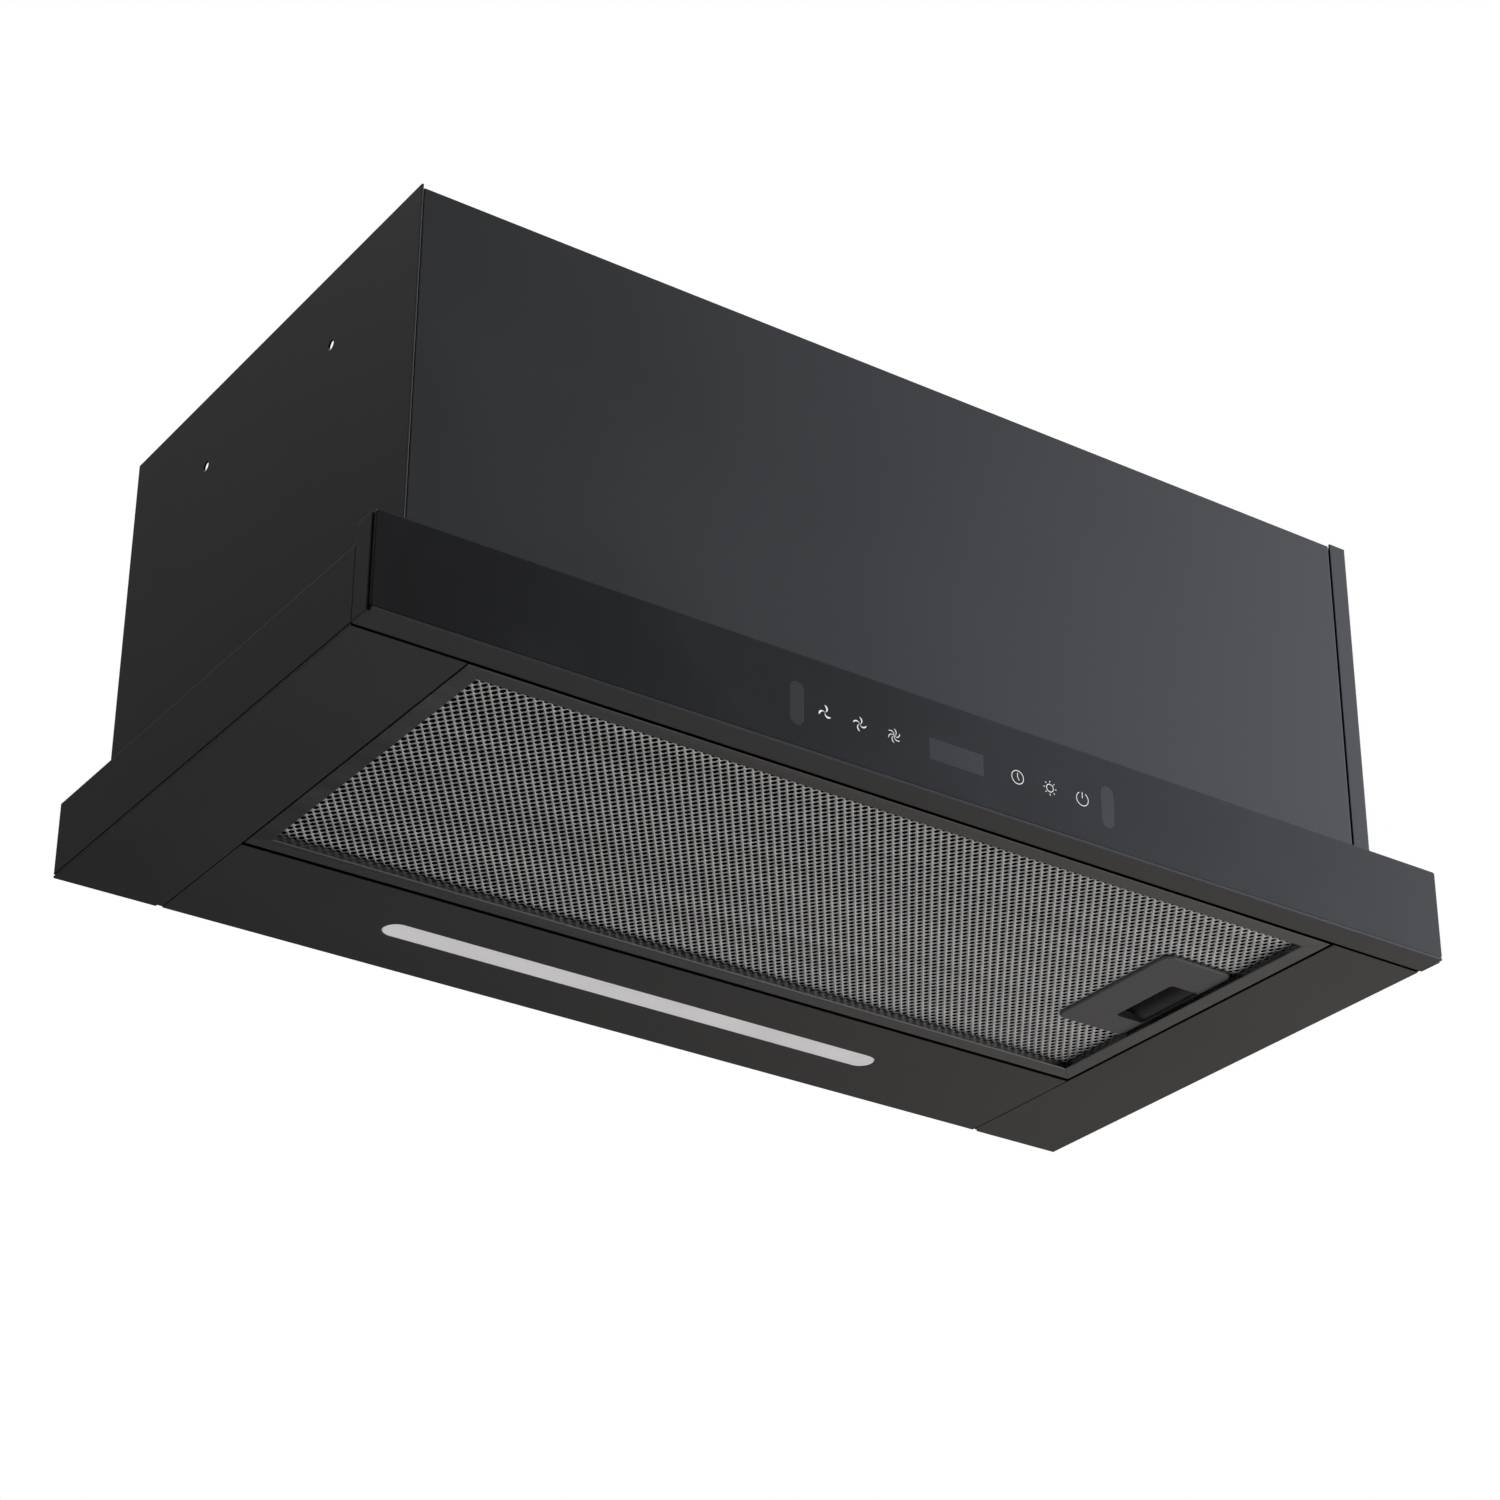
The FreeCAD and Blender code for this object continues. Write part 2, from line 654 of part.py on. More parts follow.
def latch_bezel():
    """Cover plate round the finger pocket, with side walls and two guides for the slider."""
    z0 = BEZEL_BASE
    plate = rounded_plate(BEZEL_X, BEZEL_D, (z0, z0 + BEZEL_PLATE), 5.0)
    rim = [e for e in plate.Edges if all(abs(v.Z - z0) < 0.01 for v in e.Vertexes)]
    plate = plate.makeChamfer(0.8, rim)
    wall_z = (z0 + BEZEL_PLATE, BEZEL_WALL_TOP)
    outer = rounded_plate(BEZEL_X, BEZEL_D, wall_z, 5.0)
    inner_x = (BEZEL_X[0] + 1.2, BEZEL_X[1] + 3.0)
    inner = block(inner_x, (BEZEL_D[0] + 1.2, BEZEL_D[1] - 1.2), (0.0, 20.0))
    walls = outer.cut(inner)
    guides = []
    for d in (POCKET_D[0] - 1.4, POCKET_D[1] + 0.2):
        guides.append(block((196.0, BEZEL_X[1] - 0.3), (d, d + 1.2), wall_z))
    pocket = rounded_plate(POCKET_X, POCKET_D, (-2.0, z0 + BEZEL_PLATE), 2.5)
    return joined([plate, walls] + guides).cut(pocket)


SLIDER_D = (POCKET_D[0] + 0.2, POCKET_D[1] - 0.2)


def latch_slider():
    """Scooped finger slide with the bolt that holds the filter up."""
    outline = [
        (211.4, 4.4),
        (213.0, 4.4),
        (213.0, 8.2),
        (218.6, 8.2),
        (231.4, 4.4),
        (231.4, 5.9),
        (219.4, 9.7),
        (211.4, 9.7),
    ]
    scoop = profile_along_y(outline, SLIDER_D)
    bolt_d = (LATCH_MIDDLE - BOLT_WIDTH / 2, LATCH_MIDDLE + BOLT_WIDTH / 2)
    bolt = block((230.2, BOLT_TIP), bolt_d, BOLT_Z)
    return joined([scoop, bolt])


def latch_spring():
    """Coil spring that pushes the slider out."""
    wire_r = 0.35
    coil_r = 1.5
    start, end = 191.1, 210.9
    turns = 9
    helix = Part.makeHelix((end - start) / turns, end - start, coil_r)
    section = Part.Wire([Part.makeCircle(wire_r, Vector(coil_r, 0, 0), Y_AXIS)])
    coil = Part.Wire(helix.Edges).makePipeShell([section], True, True)
    coil.rotate(Vector(0, 0, 0), Y_AXIS, 90)
    coil.translate(Vector(start, at_depth(LATCH_MIDDLE), 6.4))
    return coil


# ---- blower -----------------------------------------------------------------------------------
def fan_point(u, v):
    """A point in the plane X = 0 from its offsets behind and above the fan's axis."""
    return Vector(0, at_depth(FAN_DEPTH + u), FAN_Z + v)


SCROLL_ARCS = (  # centre behind and above the axis, radius, start and end angle from straight up
    (3.0, -6.0, 73.0, None, 90.0),
    (-5.0, -6.0, 81.0, 90.0, 180.0),
    (-5.0, 8.0, 95.0, 180.0, 270.0),
)
THROAT_INNER = -10.0  # inner wall of the throat, ahead of the axis
THROAT_OUTER = -100.0


def scroll_face(grow):
    """The scroll's outline in the plane X = 0, grown outwards by a wall thickness."""
    inner = THROAT_INNER + grow
    edges = []
    last = None
    for cu, cv, radius, start, end in SCROLL_ARCS:
        r = radius + grow
        first = math.degrees(math.asin((inner - cu) / r)) if start is None else start
        angles = [math.radians(a) for a in (first, (first + end) / 2, end)]
        p = [fan_point(cu + r * math.sin(a), cv + r * math.cos(a)) for a in angles]
        edges.append(Part.Arc(*p).toShape())
        tongue = p[0] if last is None else tongue
        last = p[2]
    top = THROAT_TOP - FAN_Z
    corners = [last, fan_point(THROAT_OUTER - grow, top), fan_point(inner, top), tongue]
    edges += [Part.makeLine(a, b) for a, b in zip(corners, corners[1:])]
    return Part.Face(Part.Wire(edges))


def prism(face, x0, x1):
    """A face in the plane X = 0 carried from x0 to x1."""
    body = face.extrude(Vector(x1 - x0, 0, 0))
    body.translate(Vector(x0, 0, 0))
    return body


def volute_scroll():
    """Spiral wall of the blower, with a flange under the top panel round its throat."""
    shell = prism(scroll_face(SCROLL_WALL), -SCROLL_HALF, SCROLL_HALF)
    flange_d = (FAN_DEPTH + THROAT_OUTER - 22.0, FAN_DEPTH + THROAT_INNER + 24.0)
    flange = block((-74.0, 74.0), flange_d, (THROAT_TOP - 2.0, THROAT_TOP))
    throat_d = (FAN_DEPTH + THROAT_OUTER, FAN_DEPTH + THROAT_INNER)
    throat = block((-SCROLL_HALF, SCROLL_HALF), throat_d, (THROAT_TOP - 30.0, THROAT_TOP + 1.0))
    whole = joined([shell, flange])
    whole = whole.cut(prism(scroll_face(0.0), -SCROLL_HALF - 1.0, SCROLL_HALF + 1.0)).cut(throat)
    for x, d in BLOWER_SCREWS:
        whole = whole.cut(rod(SCREW_HOLE_R, (x, d, THROAT_TOP - 3.0), Z_AXIS, 4.0))
    return whole.Solids[0]


def volute_plate(side):
    """Side plate of the blower with its air inlet, on the left (-1) or the right (1)."""
    face = scroll_face(SCROLL_WALL)
    x = sorted((side * SCROLL_HALF, side * (SCROLL_HALF + SCROLL_WALL)))
    plate = prism(face, x[0], x[1])
    above = block((-90.0, 90.0), (0.0, DEPTH), (THROAT_TOP - 2.1, THROAT_TOP + 5.0))
    inlet = rod(INLET_R, (x[0] - 1.0, FAN_DEPTH, FAN_Z), X_AXIS, 4.0)
    return plate.cut(inlet).cut(above)


def impeller():
    """Double-inlet impeller: a middle disc, forward-curved blades and an end ring each side."""
    centre = (0.0, FAN_DEPTH, FAN_Z)
    disc = tube(IMPELLER_R, 10.0, (-1.0, *centre[1:]), X_AXIS, 2.0)
    rings = []
    for x in (-IMPELLER_HALF, IMPELLER_HALF - 2.0):
        rings.append(tube(IMPELLER_R, BLADE_INNER_R, (x, *centre[1:]), X_AXIS, 2.0))
    lean = 7.0  # degrees a blade leans forward from its inner to its outer edge
    thick = 0.8
    points = []
    for bulge in (0.0, thick):
        mid_r = (IMPELLER_R + BLADE_INNER_R) / 2
        arc = []
        for r, turn in ((BLADE_INNER_R + 0.3, 0.0), (mid_r, 0.3 * lean), (IMPELLER_R - 0.3, lean)):
            a = math.radians(turn) + bulge / mid_r
            arc.append(fan_point(r * math.sin(a), r * math.cos(a)))
        points.append(arc)
    lower, upper = points
    edges = [
        Part.Arc(*lower).toShape(),
        Part.makeLine(lower[2], upper[2]),
        Part.Arc(*upper).toShape(),
        Part.makeLine(upper[0], lower[0]),
    ]
    section = Part.Face(Part.Wire(Part.__sortEdges__(edges)))
    blade = prism(section, -IMPELLER_HALF + 1.0, IMPELLER_HALF - 1.0)
    axis = fan_point(0.0, 0.0)
    blades = []
    for i in range(BLADE_COUNT):
        copy = blade.copy()
        copy.rotate(axis, X_AXIS, i * 360.0 / BLADE_COUNT)
        blades.append(copy)
    return joined([disc] + rings + blades)


def on_fan_axis(x):
    """(X, depth, Z) of a point on the fan's axis."""
    return (x, FAN_DEPTH, FAN_Z)


def impeller_hub():
    """Hub pressed on the shaft, with a flange riveted to the impeller's disc."""
    barrel = rod(10.0, on_fan_axis(-4.0), X_AXIS, 14.0)
    flange = rod(16.0, on_fan_axis(1.0), X_AXIS, 2.0)
    return joined([barrel, flange]).cut(rod(SHAFT_R, on_fan_axis(-10.0), X_AXIS, 40.0))


def motor_shaft():
    """Shaft through both bearings and the hub."""
    return rod(SHAFT_R, on_fan_axis(MOTOR_X[0] - 3.0), X_AXIS, 85.0)


ROTOR_X = (-52.0, -22.0)
ROTOR_R = 25.0


def motor_rotor():
    """Laminated rotor on the shaft."""
    return tube(ROTOR_R, SHAFT_R, on_fan_axis(ROTOR_X[0]), X_AXIS, ROTOR_X[1] - ROTOR_X[0])


def motor_stator():
    """Wound stator ring round the rotor."""
    length = ROTOR_X[1] - ROTOR_X[0] + 4.0
    return tube(MOTOR_R - 1.7, ROTOR_R + 0.6, on_fan_axis(ROTOR_X[0] - 2.0), X_AXIS, length)


def motor_housing():
    """Motor can with a bearing seat in each end."""
    length = MOTOR_X[1] - MOTOR_X[0]
    outer = rod(MOTOR_R, on_fan_axis(MOTOR_X[0]), X_AXIS, length)
    inner = rod(MOTOR_R - 1.5, on_fan_axis(MOTOR_X[0] + 2.0), X_AXIS, length - 4.0)
    seat = rod(BEARING_R + 0.02, on_fan_axis(MOTOR_X[0] - 1.0), X_AXIS, length + 2.0)
    return outer.cut(inner).cut(seat)


def motor_bearings():
    """The two shaft bearings."""
    starts = (MOTOR_X[0], MOTOR_X[1] - 7.0)
    return [tube(BEARING_R, BEARING_BORE_R, on_fan_axis(x), X_AXIS, 7.0) for x in starts]


BRACKET_X = -64.0
GROMMET_R = 57.0
ARM_ANGLES = (90.0, 210.0, 330.0)


def motor_bracket():
    """Ring round the motor with three arms across the inlet."""
    ring = tube(MOTOR_R + 6.0, MOTOR_R + 0.1, on_fan_axis(BRACKET_X), X_AXIS, 3.0)
    parts = [ring]
    y, z = at_depth(FAN_DEPTH), FAN_Z
    for angle in ARM_ANGLES:
        arm = Part.makeBox(3.0, 12.0, 22.0, Vector(BRACKET_X, y - 6.0, z + MOTOR_R + 3.0))
        arm.rotate(Vector(0, y, z), X_AXIS, angle)
        parts.append(arm)
    return joined(parts)


def motor_grommets():
    """Rubber buffers between the bracket's arms and the blower's left plate."""
    y, z = at_depth(FAN_DEPTH), FAN_Z
    buffers = []
    for angle in ARM_ANGLES:
        buffer = Part.makeCylinder(5.0, 3.0, Vector(BRACKET_X + 3.0, y, z + GROMMET_R), X_AXIS)
        buffer.rotate(Vector(0, y, z), X_AXIS, angle)
        buffers.append(buffer)
    return buffers


# ---- outlet -----------------------------------------------------------------------------------
def on_outlet_axis(z):
    """(X, depth, Z) of a point on the outlet's axis."""
    return (0.0, DEPTH / 2, z)


PIN_Z = FLAP_Z + FLAP_THICK / 2


def outlet_collar():
    """Round duct spigot on a flange, with a seat for the flaps and holes for their pin."""
    flange = rod(COLLAR_FLANGE_R, on_outlet_axis(TOP_SHEET), Z_AXIS, 2.0)
    spigot = rod(COLLAR_R, on_outlet_axis(TOP_SHEET), Z_AXIS, COLLAR_TOP - TOP_SHEET)
    bore = rod(COLLAR_R - COLLAR_WALL, on_outlet_axis(TOP_SHEET - 1.0), Z_AXIS, 60.0)
    seat = tube(COLLAR_R - 1.0, SEAT_R, on_outlet_axis(TOP_SHEET + 2.0), Z_AXIS, 1.6)
    collar = joined([joined([flange, spigot]).cut(bore), seat])
    pin_way = rod(PIN_R + 0.02, (0.0, 0.0, PIN_Z), Y_AXIS, DEPTH)
    collar = collar.cut(pin_way)
    for a, r in COLLAR_SCREWS:
        x, d = on_circle(a, r)
        collar = collar.cut(rod(SCREW_HOLE_R, (x, d, TOP_SHEET - 1.0), Z_AXIS, 5.0))
    return collar


def damper_pin():
    """Pin across the collar that both flaps turn on."""
    length = 2 * COLLAR_R - 0.6
    return rod(PIN_R, (0.0, (DEPTH - length) / 2, PIN_Z), Y_AXIS, length)


KNUCKLE = 12.0
KNUCKLE_STARTS = (-60.0, -12.4, 35.2)  # of the left flap, from the middle of the pin


def damper_flap(side):
    """Half-round flap on the left (-1) or right (1) of the pin, with its knuckles."""
    disc = rod(FLAP_R, on_outlet_axis(FLAP_Z), Z_AXIS, FLAP_THICK)
    x = sorted((side * FLAP_EDGE, side * (FLAP_R + 1.0)))
    half = disc.common(block(x, (0.0, DEPTH), (FLAP_Z - 1.0, FLAP_Z + 5.0)))
    shift = 0.0 if side < 0 else KNUCKLE + 0.4
    starts = [DEPTH / 2 + s + shift for s in KNUCKLE_STARTS]
    reach = KNUCKLE_R + 1.0
    others = [DEPTH / 2 + s + (KNUCKLE + 0.4 - shift) for s in KNUCKLE_STARTS]
    for d in others:
        half = half.cut(block((-reach, reach), (d - 0.4, d + KNUCKLE + 0.4), (FLAP_Z - 5.0, FLAP_Z + 5.0)))
    knuckles = [rod(KNUCKLE_R, (0.0, d, PIN_Z), Y_AXIS, KNUCKLE) for d in starts]
    flap = joined([half] + knuckles)
    return flap.cut(rod(KNUCKLE_BORE_R, (0.0, 0.0, PIN_Z), Y_AXIS, DEPTH))


# ---- electrics --------------------------------------------------------------------------------
BOX_X = (118.0, 250.0)
BOX_D = (60.0, 168.0)
BOX_Z = (182.0, 226.0)
BOX_WALL = 1.6


def inside_box(inset, z):
    """A block this far in from the electronics box's four sides."""
    x = (BOX_X[0] + inset, BOX_X[1] - inset)
    d = (BOX_D[0] + inset, BOX_D[1] - inset)
    return block(x, d, z)


def control_box():
    """Electronics box under the top panel, open at the bottom."""
    outer = block(BOX_X, BOX_D, BOX_Z)
    return outer.cut(inside_box(BOX_WALL, (0.0, BOX_Z[1] - BOX_WALL)))


def control_box_lid():
    """Lid that closes the electronics box from below, with a rim that fits inside its walls."""
    top = BOX_Z[0] - 0.1
    plate = block(BOX_X, BOX_D, (top - 1.7, top))
    rim_inset = BOX_WALL + 0.3
    rim = inside_box(rim_inset, (top, top + 3.1))
    hollow = inside_box(rim_inset + 1.4, (top, top + 4.0))
    return joined([plate, rim.cut(hollow)])


def power_board():
    """Power and lamp supply board, with its relays and transformer."""
    base = BOX_Z[1] - 8.0
    parts = [inside_box(6.0, (base, base + 1.6))]
    relay_d = (BOX_D[0] + 14.0, BOX_D[0] + 29.0)
    for i in range(3):
        x = BOX_X[0] + 16.0 + 24.0 * i
        parts.append(block((x, x + 19.0), relay_d, (base - 16.0, base)))
    transformer_x = (BOX_X[0] + 20.0, BOX_X[0] + 56.0)
    transformer_d = (BOX_D[0] + 50.0, BOX_D[0] + 82.0)
    parts.append(block(transformer_x, transformer_d, (base - 26.0, base)))
    return joined(parts)


def run_capacitor():
    """Motor run capacitor in its can, strapped under the top panel."""
    can = rod(17.5, (-190.0, 150.0, 205.0), X_AXIS, 62.0)
    strap = block((-166.0, -154.0), (148.0, 152.0), (222.0, TOP_SHEET - SHEET))
    return joined([can, strap])


def cable_gland():
    """Gland in the top panel that the supply cable leaves through."""
    top = (GLAND_X, GLAND_DEPTH)
    barrel = rod(GLAND_BARREL_R, (*top, TOP_SHEET - 10.0), Z_AXIS, 24.0)
    flange = rod(13.0, (*top, TOP_SHEET), Z_AXIS, 4.0)
    nut = rod(12.0, (*top, TOP_SHEET - SHEET - 5.0), Z_AXIS, 5.0)
    return joined([barrel, flange, nut]).cut(rod(GLAND_BORE_R, (*top, 200.0), Z_AXIS, 60.0))


def top_screws():
    """Screws of the outlet collar and of the blower's flange."""
    screws = []
    for a, r in COLLAR_SCREWS:
        x, d = on_circle(a, r)
        screws.append(screw(x, d, TOP_SHEET + 2.0, 8.0))
    screws += [screw(x, d, TOP_SHEET, 8.0) for x, d in BLOWER_SCREWS]
    return screws


# ---- write every piece ------------------------------------------------------------------------
def all_pieces():
    """Node name to solid, or to a list of separate solids."""
    return {
        "left_side_panel": left_side_panel(),
        "right_side_panel": right_side_panel(),
        "front_cover": front_cover(),
        "back_panel": back_panel(),
        "top_panel": top_panel(),
        "left_skirt": left_skirt(),
        "right_skirt": mirrored(left_skirt()),
        "left_wing": left_wing(),
        "right_wing": right_wing(),
        "rear_light_panel": rear_light_panel(),
        "tray_rear_wall": tray_rear_wall(),
        "front_cross_rail": front_cross_rail(),
        "latch_keeper": latch_keeper(),
        "light_lens": light_lens(),
        "light_housing": light_housing(),
        "led_board": led_board(),
        "left_outer_rail": mirrored(right_outer_rail()),
        "right_outer_rail": right_outer_rail(),
        "rail_glides": rail_glides(),
        "left_inner_rail": mirrored(right_inner_rail()),
        "right_inner_rail": right_inner_rail(),
        "visor_frame": visor_frame(),
        "visor_filter_frame": visor_filter_frame(),
        "visor_filter_mesh": visor_filter_mesh(),
        "front_carrier": front_carrier(),
        "left_end_cap": mirrored(right_end_cap()),
        "right_end_cap": right_end_cap(),
        "glass_front": glass_front(),
        "touch_board": touch_board(),
        "display_module": display_module(),
        "gesture_sensors": gesture_sensors(),
        "filter_frame": filter_frame(),
        "filter_mesh": filter_layer(MESH_Z),
        "filter_core": filter_layer(CORE_Z),
        "filter_tabs": filter_tabs(),
        "latch_bezel": latch_bezel(),
        "latch_slider": latch_slider(),
        "latch_spring": latch_spring(),
        "volute_scroll": volute_scroll(),
        "volute_left_plate": volute_plate(-1),
        "volute_right_plate": volute_plate(1),
        "impeller": impeller(),
        "impeller_hub": impeller_hub(),
        "motor_shaft": motor_shaft(),
        "motor_rotor": motor_rotor(),
        "motor_stator": motor_stator(),
        "motor_housing": motor_housing(),
        "motor_bearings": motor_bearings(),
        "motor_bracket": motor_bracket(),
        "motor_grommets": motor_grommets(),
        "outlet_collar": outlet_collar(),
        "damper_pin": damper_pin(),
        "left_damper_flap": damper_flap(-1),
        "right_damper_flap": damper_flap(1),
        "control_box": control_box(),
        "control_box_lid": control_box_lid(),
        "power_board": power_board(),
        "run_capacitor": run_capacitor(),
        "cable_gland": cable_gland(),
        "top_screws": top_screws(),
    }


def main():
    """Checks each piece and writes its STEP file."""
    os.makedirs("parts", exist_ok=True)
    for name, shape in all_pieces().items():
        whole = Part.makeCompound(shape) if isinstance(shape, list) else shape
        for solid in whole.Solids:
            if not solid.isValid() or solid.Volume <= 0:
                raise ValueError(f"{name} is not a sound solid")
        box = whole.BoundBox
        size = f"{box.XLength:.1f} x {box.YLength:.1f} x {box.ZLength:.1f}"
        FreeCAD.Console.PrintMessage(f"{name}: {len(whole.Solids)} solid, {whole.Volume:.0f} mm3, {size}\n")
        whole.exportStep(f"parts/{name}.step")


main()
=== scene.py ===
"""Looks of a 60 cm pull-out under cabinet hood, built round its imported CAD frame.

Each sub-assembly is a class that makes its own pieces and dresses the CAD parts that belong to it.
Lengths are metres in the CAD frame: X along the front, -Y towards the front, +Z up.
"""

import json
import logging
import math
from collections.abc import Iterator
from dataclasses import dataclass
from enum import Enum
from typing import ClassVar

import bpy
import numpy as np
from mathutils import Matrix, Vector

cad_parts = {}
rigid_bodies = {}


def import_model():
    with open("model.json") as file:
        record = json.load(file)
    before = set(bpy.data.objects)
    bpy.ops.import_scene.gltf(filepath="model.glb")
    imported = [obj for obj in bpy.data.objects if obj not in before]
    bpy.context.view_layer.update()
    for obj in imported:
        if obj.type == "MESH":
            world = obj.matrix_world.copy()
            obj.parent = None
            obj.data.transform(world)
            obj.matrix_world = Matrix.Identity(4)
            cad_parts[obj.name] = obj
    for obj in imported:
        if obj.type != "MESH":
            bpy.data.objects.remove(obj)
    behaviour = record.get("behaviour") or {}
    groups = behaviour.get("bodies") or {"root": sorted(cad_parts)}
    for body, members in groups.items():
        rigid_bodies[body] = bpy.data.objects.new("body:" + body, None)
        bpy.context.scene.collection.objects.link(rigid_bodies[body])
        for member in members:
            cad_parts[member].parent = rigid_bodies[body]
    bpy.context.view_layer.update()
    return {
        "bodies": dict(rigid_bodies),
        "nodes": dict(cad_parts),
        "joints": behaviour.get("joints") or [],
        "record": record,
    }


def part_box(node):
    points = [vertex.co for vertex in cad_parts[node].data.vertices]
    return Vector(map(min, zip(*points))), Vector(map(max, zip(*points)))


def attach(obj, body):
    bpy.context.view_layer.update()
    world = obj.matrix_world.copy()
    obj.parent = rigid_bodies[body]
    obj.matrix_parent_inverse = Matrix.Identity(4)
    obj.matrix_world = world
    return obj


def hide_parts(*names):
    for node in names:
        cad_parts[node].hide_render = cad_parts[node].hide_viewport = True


LOG = logging.getLogger("hood")
MM = 0.001
SHARP_ANGLE = math.radians(17.0)
LEAST_RADIUS = 0.01 * MM
TINY = 1e-12
WELD_DIGITS = 7
# The places of a Mix node's colour sockets: two inputs and the output.
MIX_FIRST, MIX_SECOND, MIX_RESULT = 6, 7, 2
NUMBER, DIRECTION = "NodeSocketFloat", "NodeSocketVector"
PATTERN = {"Height": NUMBER, "Shade": NUMBER}
DUST_COLOUR = (0.30, 0.28, 0.25)
# Near-black of a painted shade that stands for the dark of deep recesses.
PAINTED_SHADE_COLOUR = (0.001, 0.001, 0.001)
Colour = tuple[float, float, float]
Triple = tuple[float, float, float]
Socket = bpy.types.NodeSocket


# ---------------------------------------------------------------- shader helpers


class NodeSheet:
    """A node tree with short calls to add nodes and join them."""

    def __init__(self, tree: bpy.types.NodeTree) -> None:
        """Keeps the tree that nodes are added to."""
        self.tree = tree

    def add(self, kind: str, **settings: object) -> bpy.types.Node:
        """Adds one node.

        Args:
            kind: the node's type name, without the ShaderNode prefix.
            settings: properties of the node, by name.

        Returns:
            The new node.
        """
        node = self.tree.nodes.new("ShaderNode" + kind)
        for name, value in settings.items():
            setattr(node, name, value)
        return node

    def feed(self, target: Socket, value: object) -> None:
        """Links a socket into the target, or sets a plain value on it.

        Args:
            target: the input that is fed.
            value: an output socket, or a plain value.
        """
        if isinstance(value, bpy.types.NodeSocket):
            self.tree.links.new(value, target)
        else:
            target.default_value = value

    def place(self) -> Socket:
        """Returns Object coordinates."""
        return self.add("TexCoord").outputs["Object"]

    def stretched(self, vector: Socket, scale: Triple) -> Socket:
        """Scales coordinates differently along each axis.

        Args:
            vector: the coordinates.
            scale: the factor along X, Y and Z.

        Returns:
            The scaled coordinates.
        """
        node = self.add("Mapping")
        self.feed(node.inputs["Vector"], vector)
        node.inputs["Scale"].default_value = scale
        return node.outputs["Vector"]

    def noise(self, vector: Socket, scale: object, detail: float = 2.0) -> Socket:
        """Adds a noise texture.

        Args:
            vector: the coordinates that it reads.
            scale: its scale, as a number or a socket.
            detail: how many finer layers it adds up.

        Returns:
            Its value, from 0 to 1.
        """
        node = self.add("TexNoise")
        self.feed(node.inputs["Vector"], vector)
        self.feed(node.inputs["Scale"], scale)
        node.inputs["Detail"].default_value = detail
        return node.outputs["Fac"]

    def maths(self, operation: str, first: object, second: object = 0.0) -> Socket:
        """Adds a math node.

        Args:
            operation: the sum it does, by Blender's name.
            first: the first value or socket.
            second: the second value or socket.

        Returns:
            The result.
        """
        node = self.add("Math", operation=operation)
        self.feed(node.inputs[0], first)
        self.feed(node.inputs[1], second)
        return node.outputs[0]

    def ramp(self, value: object, low: float, high: float, start: float = 0.0, end: float = 1.0) -> Socket:
        """Maps one span onto another, held at both ends.

        Args:
            value: the value or socket that is mapped.
            low: the value that gives start.
            high: the value that gives end.
            start: the result at low.
            end: the result at high.

        Returns:
            The result.
        """
        node = self.add("MapRange")
        self.feed(node.inputs["Value"], value)
        for name, number in (("From Min", low), ("From Max", high), ("To Min", start), ("To Max", end)):
            node.inputs[name].default_value = number
        return node.outputs["Result"]

    def blend(self, share: object, first: object, second: object) -> Socket:
        """Mixes two colours.

        Args:
            share: 0 gives the first colour and 1 gives the second.
            first: the first colour or socket.
            second: the second colour or socket.

        Returns:
            The mixed colour.
        """
        node = self.add("Mix", data_type="RGBA")
        self.feed(node.inputs["Factor"], share)
        self.feed(node.inputs[MIX_FIRST], first)
        self.feed(node.inputs[MIX_SECOND], second)
        return node.outputs[MIX_RESULT]


def rgba(colour: Colour) -> tuple[float, float, float, float]:
    """Returns the colour with full alpha."""
    return (*colour, 1.0)


